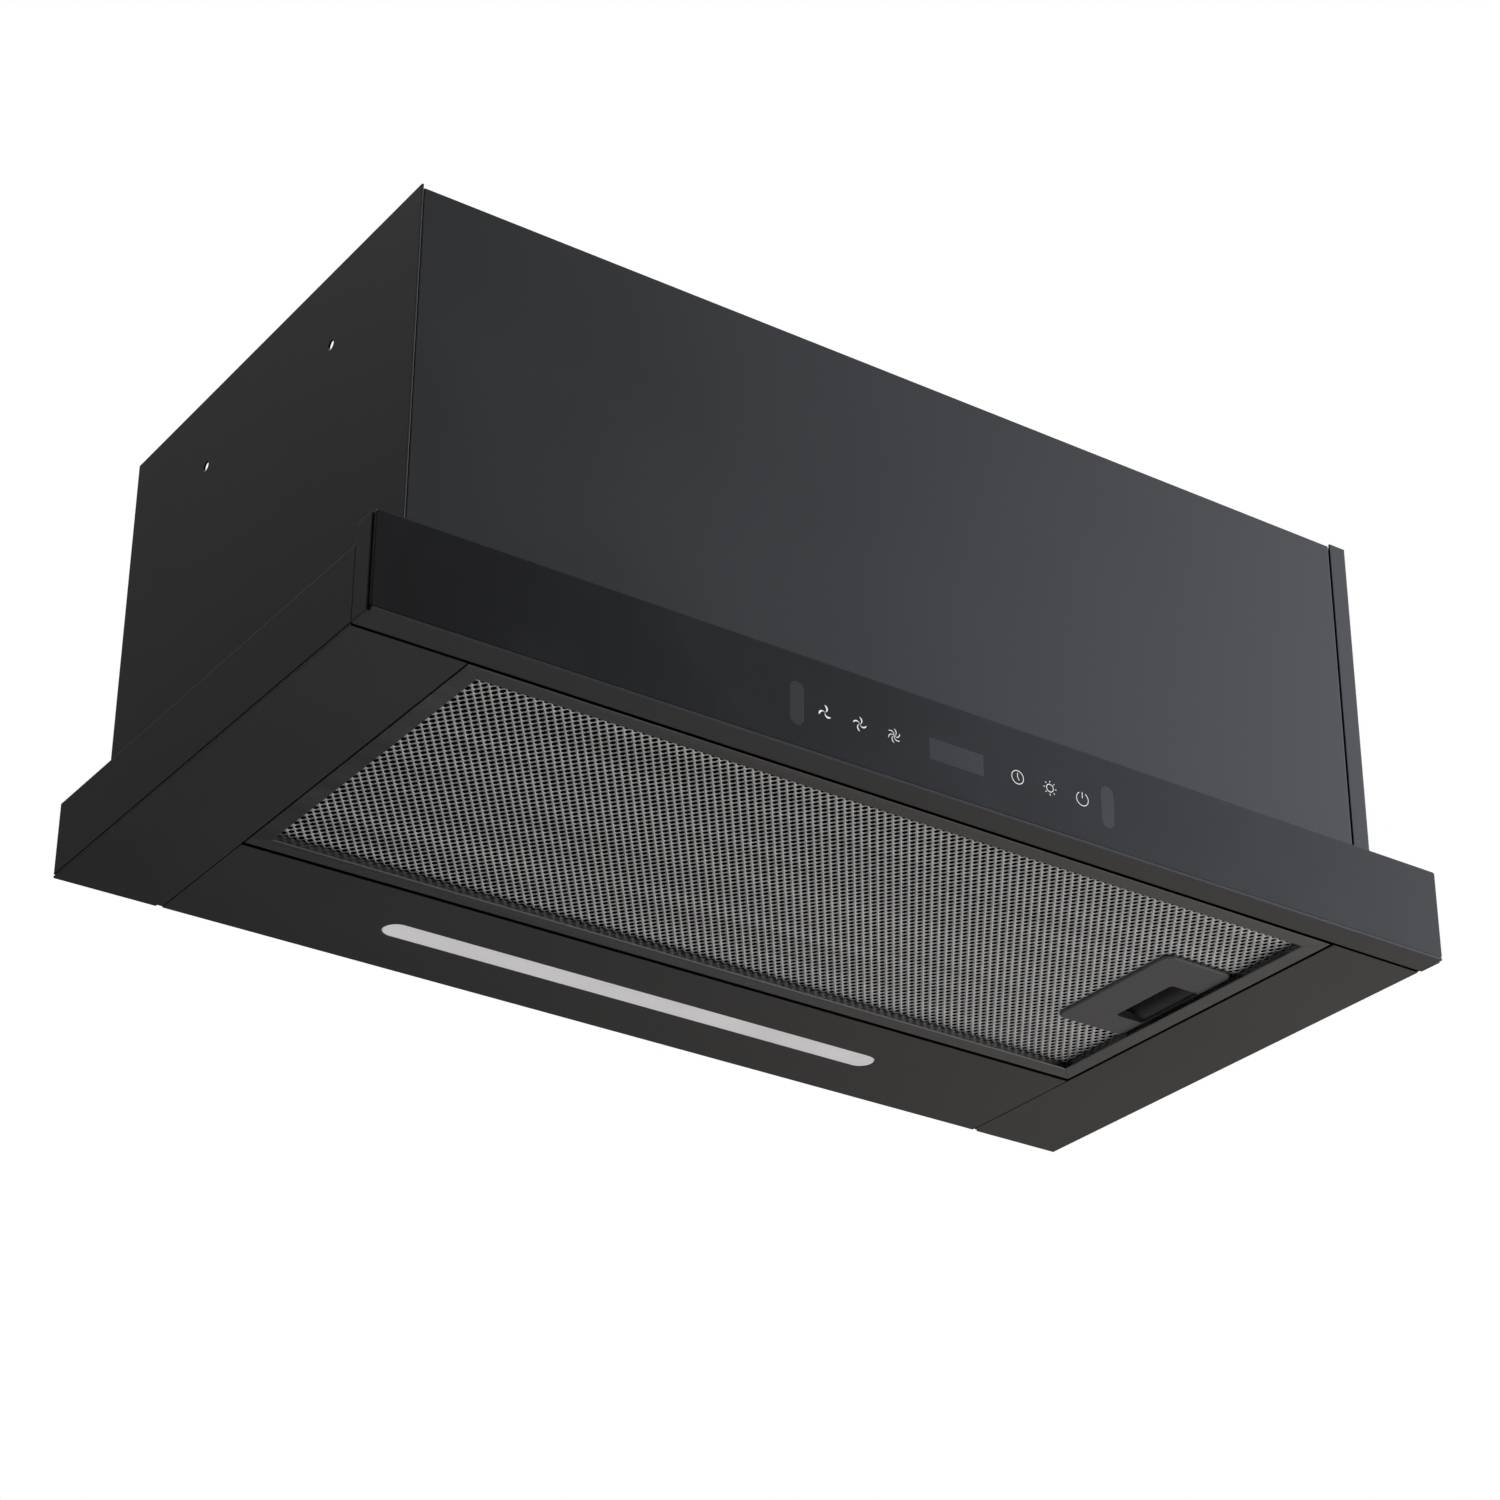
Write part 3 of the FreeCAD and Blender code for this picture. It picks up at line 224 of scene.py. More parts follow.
class SurfaceGroups:
    """The shader node groups that the finishes share, each built once."""

    def __init__(self) -> None:
        """Starts with no group built."""
        self.built: dict[str, bpy.types.NodeTree] = {}

    def place(self, sheet: NodeSheet, name: str, **values: object) -> bpy.types.Node:
        """Places a group in a material.

        Args:
            sheet: the material's nodes.
            name: the group's name, which is also the name of the method that builds it.
            values: values or sockets for the group's inputs, by name.

        Returns:
            The group node, whose outputs hold the effect.
        """
        if name not in self.built:
            self.built[name] = getattr(self, name)()
        node = sheet.add("Group", node_tree=self.built[name])
        for key, value in values.items():
            sheet.feed(node.inputs[key], value)
        return node

    @staticmethod
    def start(name: str, inputs: dict[str, float], outputs: dict[str, str]) -> tuple[NodeSheet, dict, dict]:
        """Makes an empty group with its sockets.

        Args:
            name: the group's name.
            inputs: each input's name and its default number.
            outputs: each output's name and its socket type.

        Returns:
            The group's sheet, its input sockets by name and its output sockets by name.
        """
        tree = bpy.data.node_groups.new(name, "ShaderNodeTree")
        for key, number in inputs.items():
            socket = tree.interface.new_socket(key, in_out="INPUT", socket_type=NUMBER)
            socket.default_value = number
        for key, kind in outputs.items():
            tree.interface.new_socket(key, in_out="OUTPUT", socket_type=kind)
        entry = tree.nodes.new("NodeGroupInput")
        leave = tree.nodes.new("NodeGroupOutput")
        return NodeSheet(tree), entry.outputs, leave.inputs

    def powder_grain(self) -> bpy.types.NodeTree:
        """Orange-peel waves and a finer grain of baked powder coat.

        Returns:
            The group, whose outputs are the height and a slow change of shade.
        """
        sheet, given, out = self.start("powder_grain", {"Scale": 900.0}, PATTERN)
        at = sheet.place()
        fine = sheet.noise(at, given["Scale"], 1.0)
        peel = sheet.noise(at, sheet.maths("MULTIPLY", given["Scale"], 0.28), 0.0)
        sheet.feed(out["Height"], sheet.maths("ADD", sheet.maths("MULTIPLY", fine, 0.5), peel))
        sheet.feed(out["Shade"], sheet.noise(at, 7.0, 3.0))
        return sheet.tree

    def edge_wear(self) -> bpy.types.NodeTree:
        """Softened corners and a broken-up mask along them, for edge wear and a painted highlight.

        Returns:
            The group, whose outputs are the mask and the softened normal.
        """
        outputs = {"Mask": NUMBER, "Normal": DIRECTION}
        sheet, given, out = self.start("edge_wear", {"Width": 0.0005, "Amount": 0.5}, outputs)
        soft = sheet.add("Bevel", samples=4)
        sheet.feed(soft.inputs["Radius"], given["Width"])
        plain = sheet.add("NewGeometry")
        turn = sheet.add("VectorMath", operation="DOT_PRODUCT")
        sheet.feed(turn.inputs[0], soft.outputs["Normal"])
        sheet.feed(turn.inputs[1], plain.outputs["Normal"])
        edge = sheet.ramp(turn.outputs["Value"], 0.995, 0.8)
        broken = sheet.ramp(sheet.noise(sheet.place(), 160.0, 3.0), 0.35, 0.62)
        worn_and_lit = sheet.maths("MULTIPLY", edge, broken)
        sheet.feed(out["Mask"], sheet.maths("MULTIPLY", worn_and_lit, given["Amount"]))
        sheet.feed(out["Normal"], soft.outputs["Normal"])
        return sheet.tree

    def brush_lines(self) -> bpy.types.NodeTree:
        """Fine lines drawn along X, as rolling and brushing leave.

        Returns:
            The group, whose outputs are the height and a broader change of shade.
        """
        sheet, given, out = self.start("brush_lines", {"Scale": 1.0}, PATTERN)
        at = sheet.stretched(sheet.place(), (12.0, 900.0, 900.0))
        sheet.feed(out["Height"], sheet.noise(at, given["Scale"], 3.0))
        broad = sheet.stretched(sheet.place(), (3.0, 60.0, 60.0))
        sheet.feed(out["Shade"], sheet.noise(broad, given["Scale"], 2.0))
        return sheet.tree

    def zinc_spangle(self) -> bpy.types.NodeTree:
        """Crystal patches of hot-dip zinc, each with its own brightness.

        Returns:
            The group, whose outputs are the height and the shade.
        """
        sheet, given, out = self.start("zinc_spangle", {"Scale": 110.0}, PATTERN)
        cells = sheet.add("TexVoronoi", distance="MINKOWSKI")
        sheet.feed(cells.inputs["Vector"], sheet.place())
        sheet.feed(cells.inputs["Scale"], given["Scale"])
        cells.inputs["Exponent"].default_value = 0.8
        parts = sheet.add("SeparateColor")
        sheet.feed(parts.inputs["Color"], cells.outputs["Color"])
        soft = sheet.noise(sheet.place(), 14.0, 3.0)
        crystal = sheet.maths("MULTIPLY", parts.outputs["Red"], 0.6)
        sheet.feed(out["Shade"], sheet.maths("ADD", crystal, sheet.maths("MULTIPLY", soft, 0.4)))
        sheet.feed(out["Height"], parts.outputs["Green"])
        return sheet.tree

    def moulded_skin(self) -> bpy.types.NodeTree:
        """The shallow spark-eroded skin of a moulding.

        Returns:
            The group, whose outputs are the height and the shade.
        """
        sheet, given, out = self.start("moulded_skin", {"Scale": 1400.0}, PATTERN)
        grains = sheet.add("TexVoronoi", feature="SMOOTH_F1")
        sheet.feed(grains.inputs["Vector"], sheet.place())
        sheet.feed(grains.inputs["Scale"], given["Scale"])
        sheet.feed(out["Height"], grains.outputs["Distance"])
        sheet.feed(out["Shade"], sheet.noise(sheet.place(), 30.0, 3.0))
        return sheet.tree

    def wound_wire(self) -> bpy.types.NodeTree:
        """Close turns of enamelled wire round the X axis.

        Returns:
            The group, whose outputs are the height and the shade.
        """
        sheet, given, out = self.start("wound_wire", {"Scale": 900.0}, PATTERN)
        turns = sheet.add("TexWave", wave_type="BANDS", bands_direction="X", wave_profile="SIN")
        sheet.feed(turns.inputs["Vector"], sheet.place())
        sheet.feed(turns.inputs["Scale"], given["Scale"])
        turns.inputs["Distortion"].default_value = 1.5
        sheet.feed(out["Height"], turns.outputs["Fac"])
        sheet.feed(out["Shade"], turns.outputs["Fac"])
        return sheet.tree

    def dust_film(self) -> bpy.types.NodeTree:
        """A patchy film of dust on faces that look up.

        Returns:
            The group, whose output is the mask.
        """
        sheet, given, out = self.start("dust_film", {"Amount": 0.3}, {"Mask": NUMBER})
        facing = sheet.add("SeparateXYZ")
        sheet.feed(facing.inputs[0], sheet.add("NewGeometry").outputs["Normal"])
        up = sheet.ramp(facing.outputs["Z"], 0.3, 0.95)
        patchy = sheet.ramp(sheet.noise(sheet.place(), 22.0, 6.0), 0.35, 0.75)
        settled = sheet.maths("MULTIPLY", up, patchy)
        sheet.feed(out["Mask"], sheet.maths("MULTIPLY", settled, given["Amount"]))
        return sheet.tree


GROUPS = SurfaceGroups()


# ---------------------------------------------------------------- finishes


class Skin(Enum):
    """The surface pattern that a finish carries, named for its node group."""

    POWDER = "powder_grain"
    BRUSHED = "brush_lines"
    SPANGLE = "zinc_spangle"
    MOULDED = "moulded_skin"
    WOUND = "wound_wire"


@dataclass(frozen=True)
class Finish:
    """One finish: its colours, its gloss and the pattern in its surface.

    The pattern's shade blends colour into second, and roughness runs from smooth to rough with it. A
    near-black painted shade, standing for the dark of a deep recess, fades into the colour over a span
    of X in metres. Relief is the pattern's height, and edge_width the radius of a softened corner that
    carries edge wear and a painted highlight, both in metres.
    """

    name: str
    skin: Skin
    colour: Colour
    second: Colour
    scale: float
    smooth: float
    rough: float
    metallic: float = 0.0
    relief: float = 0.00002
    edge_width: float = 0.0004
    edge_amount: float = 0.35
    edge_colour: Colour = (0.12, 0.12, 0.125)
    dust: float = 0.0
    coat: float = 0.0
    glow: float = 0.0
    specular: float = 0.5
    hollow: tuple[float, float] | None = None

    def make(self) -> bpy.types.Material:
        """Builds the material.

        Returns:
            The material, ready to put on a piece.
        """
        material = bpy.data.materials.new(self.name)
        material.use_nodes = True
        sheet = NodeSheet(material.node_tree)
        shader = material.node_tree.nodes["Principled BSDF"]
        skin = GROUPS.place(sheet, self.skin.value, Scale=self.scale)
        edge = GROUPS.place(sheet, "edge_wear", Width=self.edge_width, Amount=self.edge_amount)
        shade = sheet.ramp(skin.outputs["Shade"], 0.3, 0.7)
        colour = sheet.blend(shade, rgba(self.colour), rgba(self.second))
        # Edge wear and a painted highlight along corners, blended over the colour.
        colour = sheet.blend(edge.outputs["Mask"], colour, rgba(self.edge_colour))
        # Painted shade: the colour fades from near-black at low X to the finish's colour, standing for the
        # dark of a deep recess.
        if self.hollow:
            place = sheet.add("SeparateXYZ")
            sheet.feed(place.inputs[0], sheet.place())
            depth = sheet.ramp(place.outputs["X"], *self.hollow)
            colour = sheet.blend(depth, rgba(PAINTED_SHADE_COLOUR), colour)
        roughness = sheet.ramp(shade, 0.0, 1.0, self.smooth, self.rough)
        if self.dust:
            film = GROUPS.place(sheet, "dust_film", Amount=self.dust).outputs["Mask"]
            colour = sheet.blend(film, colour, rgba(DUST_COLOUR))
            roughness = sheet.maths("ADD", roughness, sheet.maths("MULTIPLY", film, 0.4))
        sheet.feed(shader.inputs["Base Color"], colour)
        sheet.feed(shader.inputs["Roughness"], roughness)
        shader.inputs["Metallic"].default_value = self.metallic
        shader.inputs["Coat Weight"].default_value = self.coat
        shader.inputs["Coat Roughness"].default_value = 0.15
        shader.inputs["Specular IOR Level"].default_value = self.specular
        if self.glow:
            sheet.feed(shader.inputs["Emission Color"], colour)
            shader.inputs["Emission Strength"].default_value = self.glow
        bump = sheet.add("Bump")
        bump.inputs["Strength"].default_value = 1.0
        bump.inputs["Distance"].default_value = self.relief
        sheet.feed(bump.inputs["Height"], skin.outputs["Height"])
        sheet.feed(bump.inputs["Normal"], edge.outputs["Normal"])
        sheet.feed(shader.inputs["Normal"], bump.outputs["Normal"])
        return material


FINISHES: tuple[Finish, ...] = (
    Finish(
        "satin_black_coat", Skin.POWDER, colour=(0.015, 0.0154, 0.0164), second=(0.020, 0.0204, 0.0214),
        scale=1100.0, smooth=0.30, rough=0.36, relief=0.000012, edge_width=0.0007, edge_amount=0.5,
        edge_colour=(0.06, 0.06, 0.062), specular=0.5,
    ),
    # The frame's light edge colour is a painted highlight for light caught on its rounded edges.
    Finish(
        "dark_anodised_frame", Skin.BRUSHED, colour=(0.095, 0.095, 0.096), second=(0.125, 0.125, 0.127),
        scale=1.0, smooth=0.22, rough=0.30, metallic=0.9, relief=0.000006, edge_width=0.0004,
        edge_amount=0.6, edge_colour=(0.3, 0.3, 0.3),
    ),
    Finish(
        "bright_mesh_strand", Skin.BRUSHED, colour=(0.64, 0.64, 0.64), second=(0.76, 0.76, 0.76),
        scale=2.0, smooth=0.34, rough=0.46, metallic=0.9, relief=0.00001, edge_width=0.00015,
        edge_amount=0.3, edge_colour=(0.8, 0.8, 0.8),
    ),
    # Near-black core layers: a painted shade for the shadow behind the front mesh.
    Finish(
        "painted_shade_core_layer", Skin.BRUSHED, colour=(0.003, 0.003, 0.003), second=(0.006, 0.006, 0.006),
        scale=2.0, smooth=0.7, rough=0.8, relief=0.00003, edge_amount=0.0, specular=0.08,
    ),
    # Near-black and without gloss: the foam strips are painted shade in the underside's seams.
    Finish(
        "foam_seal_painted_shade", Skin.MOULDED, colour=(0.001, 0.001, 0.001), second=(0.002, 0.002, 0.002),
        scale=900.0, smooth=0.9, rough=1.0, relief=0.00002, edge_amount=0.0, specular=0.0,
    ),
    Finish(
        "grey_bezel_moulding", Skin.MOULDED, colour=(0.074, 0.074, 0.075), second=(0.088, 0.088, 0.089),
        scale=1500.0, smooth=0.40, rough=0.5, relief=0.00001, edge_width=0.0005, edge_amount=0.8,
        edge_colour=(0.2, 0.2, 0.2),
    ),
    # The latch is the bezel's grey, with a painted shade that darkens it towards its deep left end.
    Finish(
        "latch_moulding_painted_shade", Skin.MOULDED, colour=(0.075, 0.075, 0.075), second=(0.09, 0.09, 0.09),
        scale=1500.0, smooth=0.45, rough=0.55, relief=0.00001, edge_width=0.0003, edge_amount=0.3,
        edge_colour=(0.1, 0.1, 0.1), specular=0.15, hollow=(0.224, 0.234),
    ),
    Finish(
        "galvanised_sheet", Skin.SPANGLE, colour=(0.47, 0.48, 0.49), second=(0.54, 0.55, 0.56),
        scale=230.0, smooth=0.34, rough=0.42, metallic=0.9, relief=0.00002, edge_amount=0.4,
        edge_colour=(0.75, 0.75, 0.76), dust=0.12,
    ),
    Finish(
        "natural_inner_moulding", Skin.MOULDED, colour=(0.055, 0.056, 0.06), second=(0.075, 0.076, 0.08),
        scale=1100.0, smooth=0.42, rough=0.55, relief=0.00002, edge_colour=(0.14, 0.14, 0.15), dust=0.2,
    ),
    Finish(
        "white_nylon", Skin.MOULDED, colour=(0.74, 0.73, 0.69), second=(0.80, 0.79, 0.75),
        scale=900.0, smooth=0.32, rough=0.42, relief=0.00001, edge_colour=(0.85, 0.85, 0.8),
    ),
    Finish(
        "green_circuit_board", Skin.MOULDED, colour=(0.012, 0.09, 0.035), second=(0.02, 0.14, 0.05),
        scale=400.0, smooth=0.28, rough=0.4, relief=0.00001, edge_colour=(0.3, 0.3, 0.15), coat=0.4,
    ),
    Finish(
        "grey_sensor_window", Skin.MOULDED, colour=(0.026, 0.024, 0.029), second=(0.033, 0.031, 0.036),
        scale=900.0, smooth=0.16, rough=0.22, relief=0.000004, edge_amount=0.0,
    ),
    Finish(
        "ground_motor_steel", Skin.BRUSHED, colour=(0.45, 0.45, 0.46), second=(0.6, 0.6, 0.61),
        scale=1.0, smooth=0.2, rough=0.36, metallic=1.0, relief=0.00001, edge_colour=(0.8, 0.8, 0.8),
    ),
    Finish(
        "pressed_motor_can", Skin.BRUSHED, colour=(0.36, 0.37, 0.38), second=(0.46, 0.47, 0.48),
        scale=1.0, smooth=0.32, rough=0.45, metallic=0.9, relief=0.00001, edge_colour=(0.7, 0.7, 0.7),
        dust=0.2,
    ),
    Finish(
        "enamelled_copper_wire", Skin.WOUND, colour=(0.42, 0.13, 0.03), second=(0.72, 0.28, 0.09),
        scale=900.0, smooth=0.22, rough=0.35, metallic=0.8, relief=0.00015, edge_amount=0.1,
        edge_colour=(0.8, 0.4, 0.15),
    ),
    Finish(
        "black_rubber", Skin.MOULDED, colour=(0.012, 0.012, 0.012), second=(0.02, 0.02, 0.02),
        scale=700.0, smooth=0.65, rough=0.8, relief=0.00003, edge_colour=(0.05, 0.05, 0.05),
    ),
    Finish(
        "bright_zinc_screw", Skin.BRUSHED, colour=(0.55, 0.55, 0.54), second=(0.68, 0.68, 0.66),
        scale=3.0, smooth=0.24, rough=0.36, metallic=1.0, relief=0.00001, edge_colour=(0.85, 0.85, 0.85),
    ),
    Finish(
        "white_damper_moulding", Skin.MOULDED, colour=(0.62, 0.62, 0.60), second=(0.70, 0.70, 0.68),
        scale=900.0, smooth=0.38, rough=0.5, relief=0.00001, edge_colour=(0.8, 0.8, 0.8), dust=0.25,
    ),
    Finish(
        "opal_lamp_lens", Skin.MOULDED, colour=(0.72, 0.71, 0.715), second=(0.78, 0.77, 0.775),
        scale=1600.0, smooth=0.35, rough=0.45, relief=0.00001, edge_amount=0.0, glow=0.27,
    ),
    Finish(
        "white_key_print", Skin.MOULDED, colour=(0.85, 0.85, 0.86), second=(0.9, 0.9, 0.9),
        scale=3000.0, smooth=0.4, rough=0.5, relief=0.000002, edge_amount=0.0, glow=0.55,
    ),
)


@dataclass(frozen=True)
class BackPaintedGlass:
    """Black toughened glass, painted on its back: deep black under a clear, faintly wavy gloss."""

    name: str = "black_touch_glass"
    paint: Colour = (0.002, 0.002, 0.0025)
    film: Colour = (0.004, 0.004, 0.0045)
    roughness: float = 0.2
    smear: float = 0.06
    wave_height: float = 0.000004

    def make(self) -> bpy.types.Material:
        """Builds the material, with finger marks in the roughness.

        Returns:
            The material.
        """
        material = bpy.data.materials.new(self.name)
        material.use_nodes = True
        sheet = NodeSheet(material.node_tree)
        shader = material.node_tree.nodes["Principled BSDF"]
        at = sheet.place()
        marks = sheet.ramp(sheet.noise(at, 24.0, 5.0), 0.45, 0.7)
        sheet.feed(shader.inputs["Base Color"], sheet.blend(marks, rgba(self.paint), rgba(self.film)))
        roughness = sheet.ramp(marks, 0.0, 1.0, self.roughness, self.roughness + self.smear)
        sheet.feed(shader.inputs["Roughness"], roughness)
        shader.inputs["IOR"].default_value = 1.52
        shader.inputs["Specular IOR Level"].default_value = 0.33
        edge = GROUPS.place(sheet, "edge_wear", Width=0.0004, Amount=0.0)
        bump = sheet.add("Bump")
        bump.inputs["Strength"].default_value = 1.0
        bump.inputs["Distance"].default_value = self.wave_height
        sheet.feed(bump.inputs["Height"], sheet.noise(at, 35.0, 0.0))
        sheet.feed(bump.inputs["Normal"], edge.outputs["Normal"])
        sheet.feed(shader.inputs["Normal"], bump.outputs["Normal"])
        return material


class FinishRack:
    """Every finish of the hood by name, made when it is first asked for."""

    def __init__(self) -> None:
        """Lists the finishes that can be made."""
        self.recipes = {finish.name: finish for finish in (*FINISHES, BackPaintedGlass())}
        self.made: dict[str, bpy.types.Material] = {}

    def get(self, name: str) -> bpy.types.Material:
        """Finds a finish's material.

        Args:
            name: the finish's name.

        Returns:
            The material, made on the first call.
        """
        if name not in self.made:
            self.made[name] = self.recipes[name].make()
        return self.made[name]


# ---------------------------------------------------------------- mesh helpers


class Facing(Enum):
    """The plane that a flat piece is drawn in: its two drawing axes and the way it faces."""

    FRONT = ((1, 0, 0), (0, 0, 1), (0, -1, 0))
    DOWN = ((1, 0, 0), (0, -1, 0), (0, 0, -1))

    def lay(self, points: np.ndarray) -> np.ndarray:
        """Turns drawing coordinates (across, along, out) into the CAD frame."""
        return points @ np.array(self.value, float)


def grid_faces(rows: int, columns: int, closed: bool) -> np.ndarray:
    """Quads between neighbouring points of a grid held row by row.

    Args:
        rows: number of rows.
        columns: points in a row.
        closed: True joins the last column to the first.

    Returns:
        An array of four point numbers to a face.
    """
    steps = columns if closed else columns - 1
    row, column = np.meshgrid(np.arange(rows - 1), np.arange(steps), indexing="ij")
    here = (row * columns + column).ravel()
    right = (row * columns + (column + 1) % columns).ravel()
    return np.stack([here, right, right + columns, here + columns], axis=1)


def make_object(
    name: str, points: np.ndarray, faces: list[np.ndarray], material: bpy.types.Material
) -> bpy.types.Object:
    """Makes a mesh object at the origin from whole arrays.

    Args:
        name: the piece's name.
        points: its points, three numbers each, in metres.
        faces: arrays of point numbers, each array with one number of corners to a face.
        material: the finish.

    Returns:
        The new object.
    """
    mesh = bpy.data.meshes.new(name)
    corners = np.concatenate([part.ravel() for part in faces]).astype(np.int32)
    sizes = np.concatenate([np.full(len(part), part.shape[1]) for part in faces]).astype(np.int32)
    starts = np.concatenate([[0], np.cumsum(sizes)[:-1]]).astype(np.int32)
    mesh.vertices.add(len(points))
    mesh.vertices.foreach_set("co", points.astype(np.float32).ravel())
    mesh.loops.add(len(corners))
    mesh.loops.foreach_set("vertex_index", corners)
    mesh.polygons.add(len(sizes))
    mesh.polygons.foreach_set("loop_start", starts)
    mesh.update(calc_edges=True)
    mesh.validate()
    mesh.set_sharp_from_angle(angle=SHARP_ANGLE)
    mesh.materials.append(material)
    piece = bpy.data.objects.new(name, mesh)
    bpy.context.scene.collection.objects.link(piece)
    return piece


def thicken(piece: bpy.types.Object, name: str, thickness: float) -> None:
    """Gives a sheet its wall, behind its face, with a Solidify modifier.

    Args:
        piece: the sheet.
        name: the modifier's name.
        thickness: the wall, in metres.
    """
    wall = piece.modifiers.new(name, "SOLIDIFY")
    wall.thickness = thickness
    wall.offset = -1.0


def box_mesh(low: Triple, high: Triple) -> tuple[np.ndarray, list[np.ndarray]]:
    """A plain box between two opposite corners.

    Each corner of the unit cube is stretched by the box's size and moved to its low corner.

    Args:
        low: the corner with the smallest coordinates.
        high: the corner with the largest coordinates.

    Returns:
        Its points and its quads.
    """
    floor = np.array([[0, 0, 0], [1, 0, 0], [1, 1, 0], [0, 1, 0]], float)
    corner = np.concatenate([floor, floor + [0, 0, 1]])
    quads = np.array([[0, 3, 2, 1], [4, 5, 6, 7], [0, 1, 5, 4], [1, 2, 6, 5], [2, 3, 7, 6], [3, 0, 4, 7]])
    return np.array(low) + corner * (np.array(high) - np.array(low)), [quads]


def rounded_outline(half_width: float, half_height: float, radius: float, per_corner: int = 8) -> np.ndarray:
    """Points round a rectangle with round corners, anticlockwise.

    Each corner is a quarter circle: corner centre plus radius times (cos, sin) of an angle that runs on
    by a quarter turn from corner to corner.

    Args:
        half_width: half the rectangle's length.
        half_height: half its breadth.
        radius: corner radius.
        per_corner: points on each corner.

    Returns:
        The points, two numbers each.
    """
    angle = np.linspace(0.0, math.pi / 2, per_corner)[None, :] + np.arange(4)[:, None] * math.pi / 2
    centre_x = np.array([1, -1, -1, 1])[:, None] * (half_width - radius)
    centre_y = np.array([1, 1, -1, -1])[:, None] * (half_height - radius)
    x, y = centre_x + radius * np.cos(angle), centre_y + radius * np.sin(angle)
    return np.stack([x, y], axis=-1).reshape(-1, 2)


def slab(
    half_width: float, half_height: float, radius: float, profile: np.ndarray
) -> tuple[np.ndarray, list[np.ndarray]]:
    """A flat plate whose edge follows a profile carried round a rounded rectangle.

    Ring k is the outline drawn in by profile[k, 0], at height profile[k, 1]; each end is closed by a fan
    round a middle point.

    Args:
        half_width: half the plate's length.
        half_height: half its breadth.
        radius: corner radius.
        profile: rows of (inset, height), from the back of the plate to its face.

    Returns:
        Points in drawing coordinates and the faces.
    """
    outlines = [
        rounded_outline(half_width - inset, half_height - inset, max(radius - inset, LEAST_RADIUS))
        for inset in profile[:, 0]
    ]
    count = len(outlines[0])
    rings = [np.column_stack([line, np.full(count, level)]) for line, level in zip(outlines, profile[:, 1])]
    ends = np.array([[0, 0, profile[0, 1]], [0, 0, profile[-1, 1]]])
    points = np.concatenate([*rings, ends])
    walls = grid_faces(len(rings), count, closed=True)
    around = np.arange(count)
    following = (around + 1) % count
    back = np.stack([following, around, np.full(count, len(points) - 2)], axis=1)
    last = (len(rings) - 1) * count
    face = np.stack([last + around, last + following, np.full(count, len(points) - 1)], axis=1)
    return points, [walls, back, face]


def swept_bar(
    path: np.ndarray, width: np.ndarray, back: float, front: float
) -> tuple[np.ndarray, np.ndarray]:
    """A flat bar along a line, its width changing on the way.

    At each point of the line, four corners stand half a width to each side, across the line's own
    direction, at the back and at the front.

    Args:
        path: points of the middle line, two numbers each.
        width: the bar's width at each point.
        back: height of the back face.
        front: height of the front face.

    Returns:
        Points in drawing coordinates and quads, both ends closed.
    """
    along = np.gradient(path, axis=0)
    along /= np.linalg.norm(along, axis=1)[:, None] + TINY
    across = np.column_stack([-along[:, 1], along[:, 0]]) * width[:, None] / 2
    left, right = path + across, path - across
    rows = [np.column_stack([side, np.full(len(path), level)])
            for side, level in ((left, back), (right, back), (right, front), (left, front))]
    points = np.stack(rows, axis=1).reshape(-1, 3)
    quads = grid_faces(len(path), 4, closed=True)
    end = (len(path) - 1) * 4
    caps = np.array([[3, 2, 1, 0], [end, end + 1, end + 2, end + 3]])
    return points, np.concatenate([quads, caps])


def joined(parts: list[tuple[np.ndarray, np.ndarray]]) -> tuple[np.ndarray, np.ndarray]:
    """Puts several shapes into one set of points and faces.

    Args:
        parts: the points and faces of each shape.

    Returns:
        All the points, and all the faces with their point numbers shifted to match.
    """
    shifts = np.cumsum([0] + [len(points) for points, _ in parts[:-1]])
    points = np.concatenate([part for part, _ in parts])
    return points, np.concatenate([faces + shift for (_, faces), shift in zip(parts, shifts)])


# ---------------------------------------------------------------- sub-assemblies


@dataclass
class SubAssembly:
    """A group of pieces that are made and dressed together, with the loaded frame and the finishes."""

    finishes: ClassVar[dict[str, tuple[str, ...]]] = {}
    frame: dict
    rack: FinishRack

    def dress(self) -> None:
        """Gives each CAD part of this group its finish."""
        for finish, nodes in self.finishes.items():
            for name in nodes:
                mesh = self.frame["nodes"][name].data
                mesh.materials.clear()
                mesh.materials.append(self.rack.get(finish))
                LOG.info("%s takes %s", name, finish)

    def put(self, piece: bpy.types.Object, body: str, slot: str) -> bpy.types.Object:
        """Makes a new piece ride on its body and reports it.

        Args:
            piece: the new piece.
            body: the body that carries it.
            slot: the name of its material slot; not used.

        Returns:
            The same piece.
        """
        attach(piece, body)
        LOG.info("%s rides on %s", piece.name, body)
        return piece

    def build(self) -> None:
        """Makes the group's own pieces and dresses its CAD parts."""
        self.dress()


@dataclass
class MotorBox(SubAssembly):
    """The upper box: side panels, front cover, back and top panels."""

    finishes: ClassVar[dict[str, tuple[str, ...]]] = {
        "satin_black_coat": ("left_side_panel", "right_side_panel", "front_cover"),
        "galvanised_sheet": ("back_panel", "top_panel"),
        "bright_zinc_screw": ("top_screws",),
    }


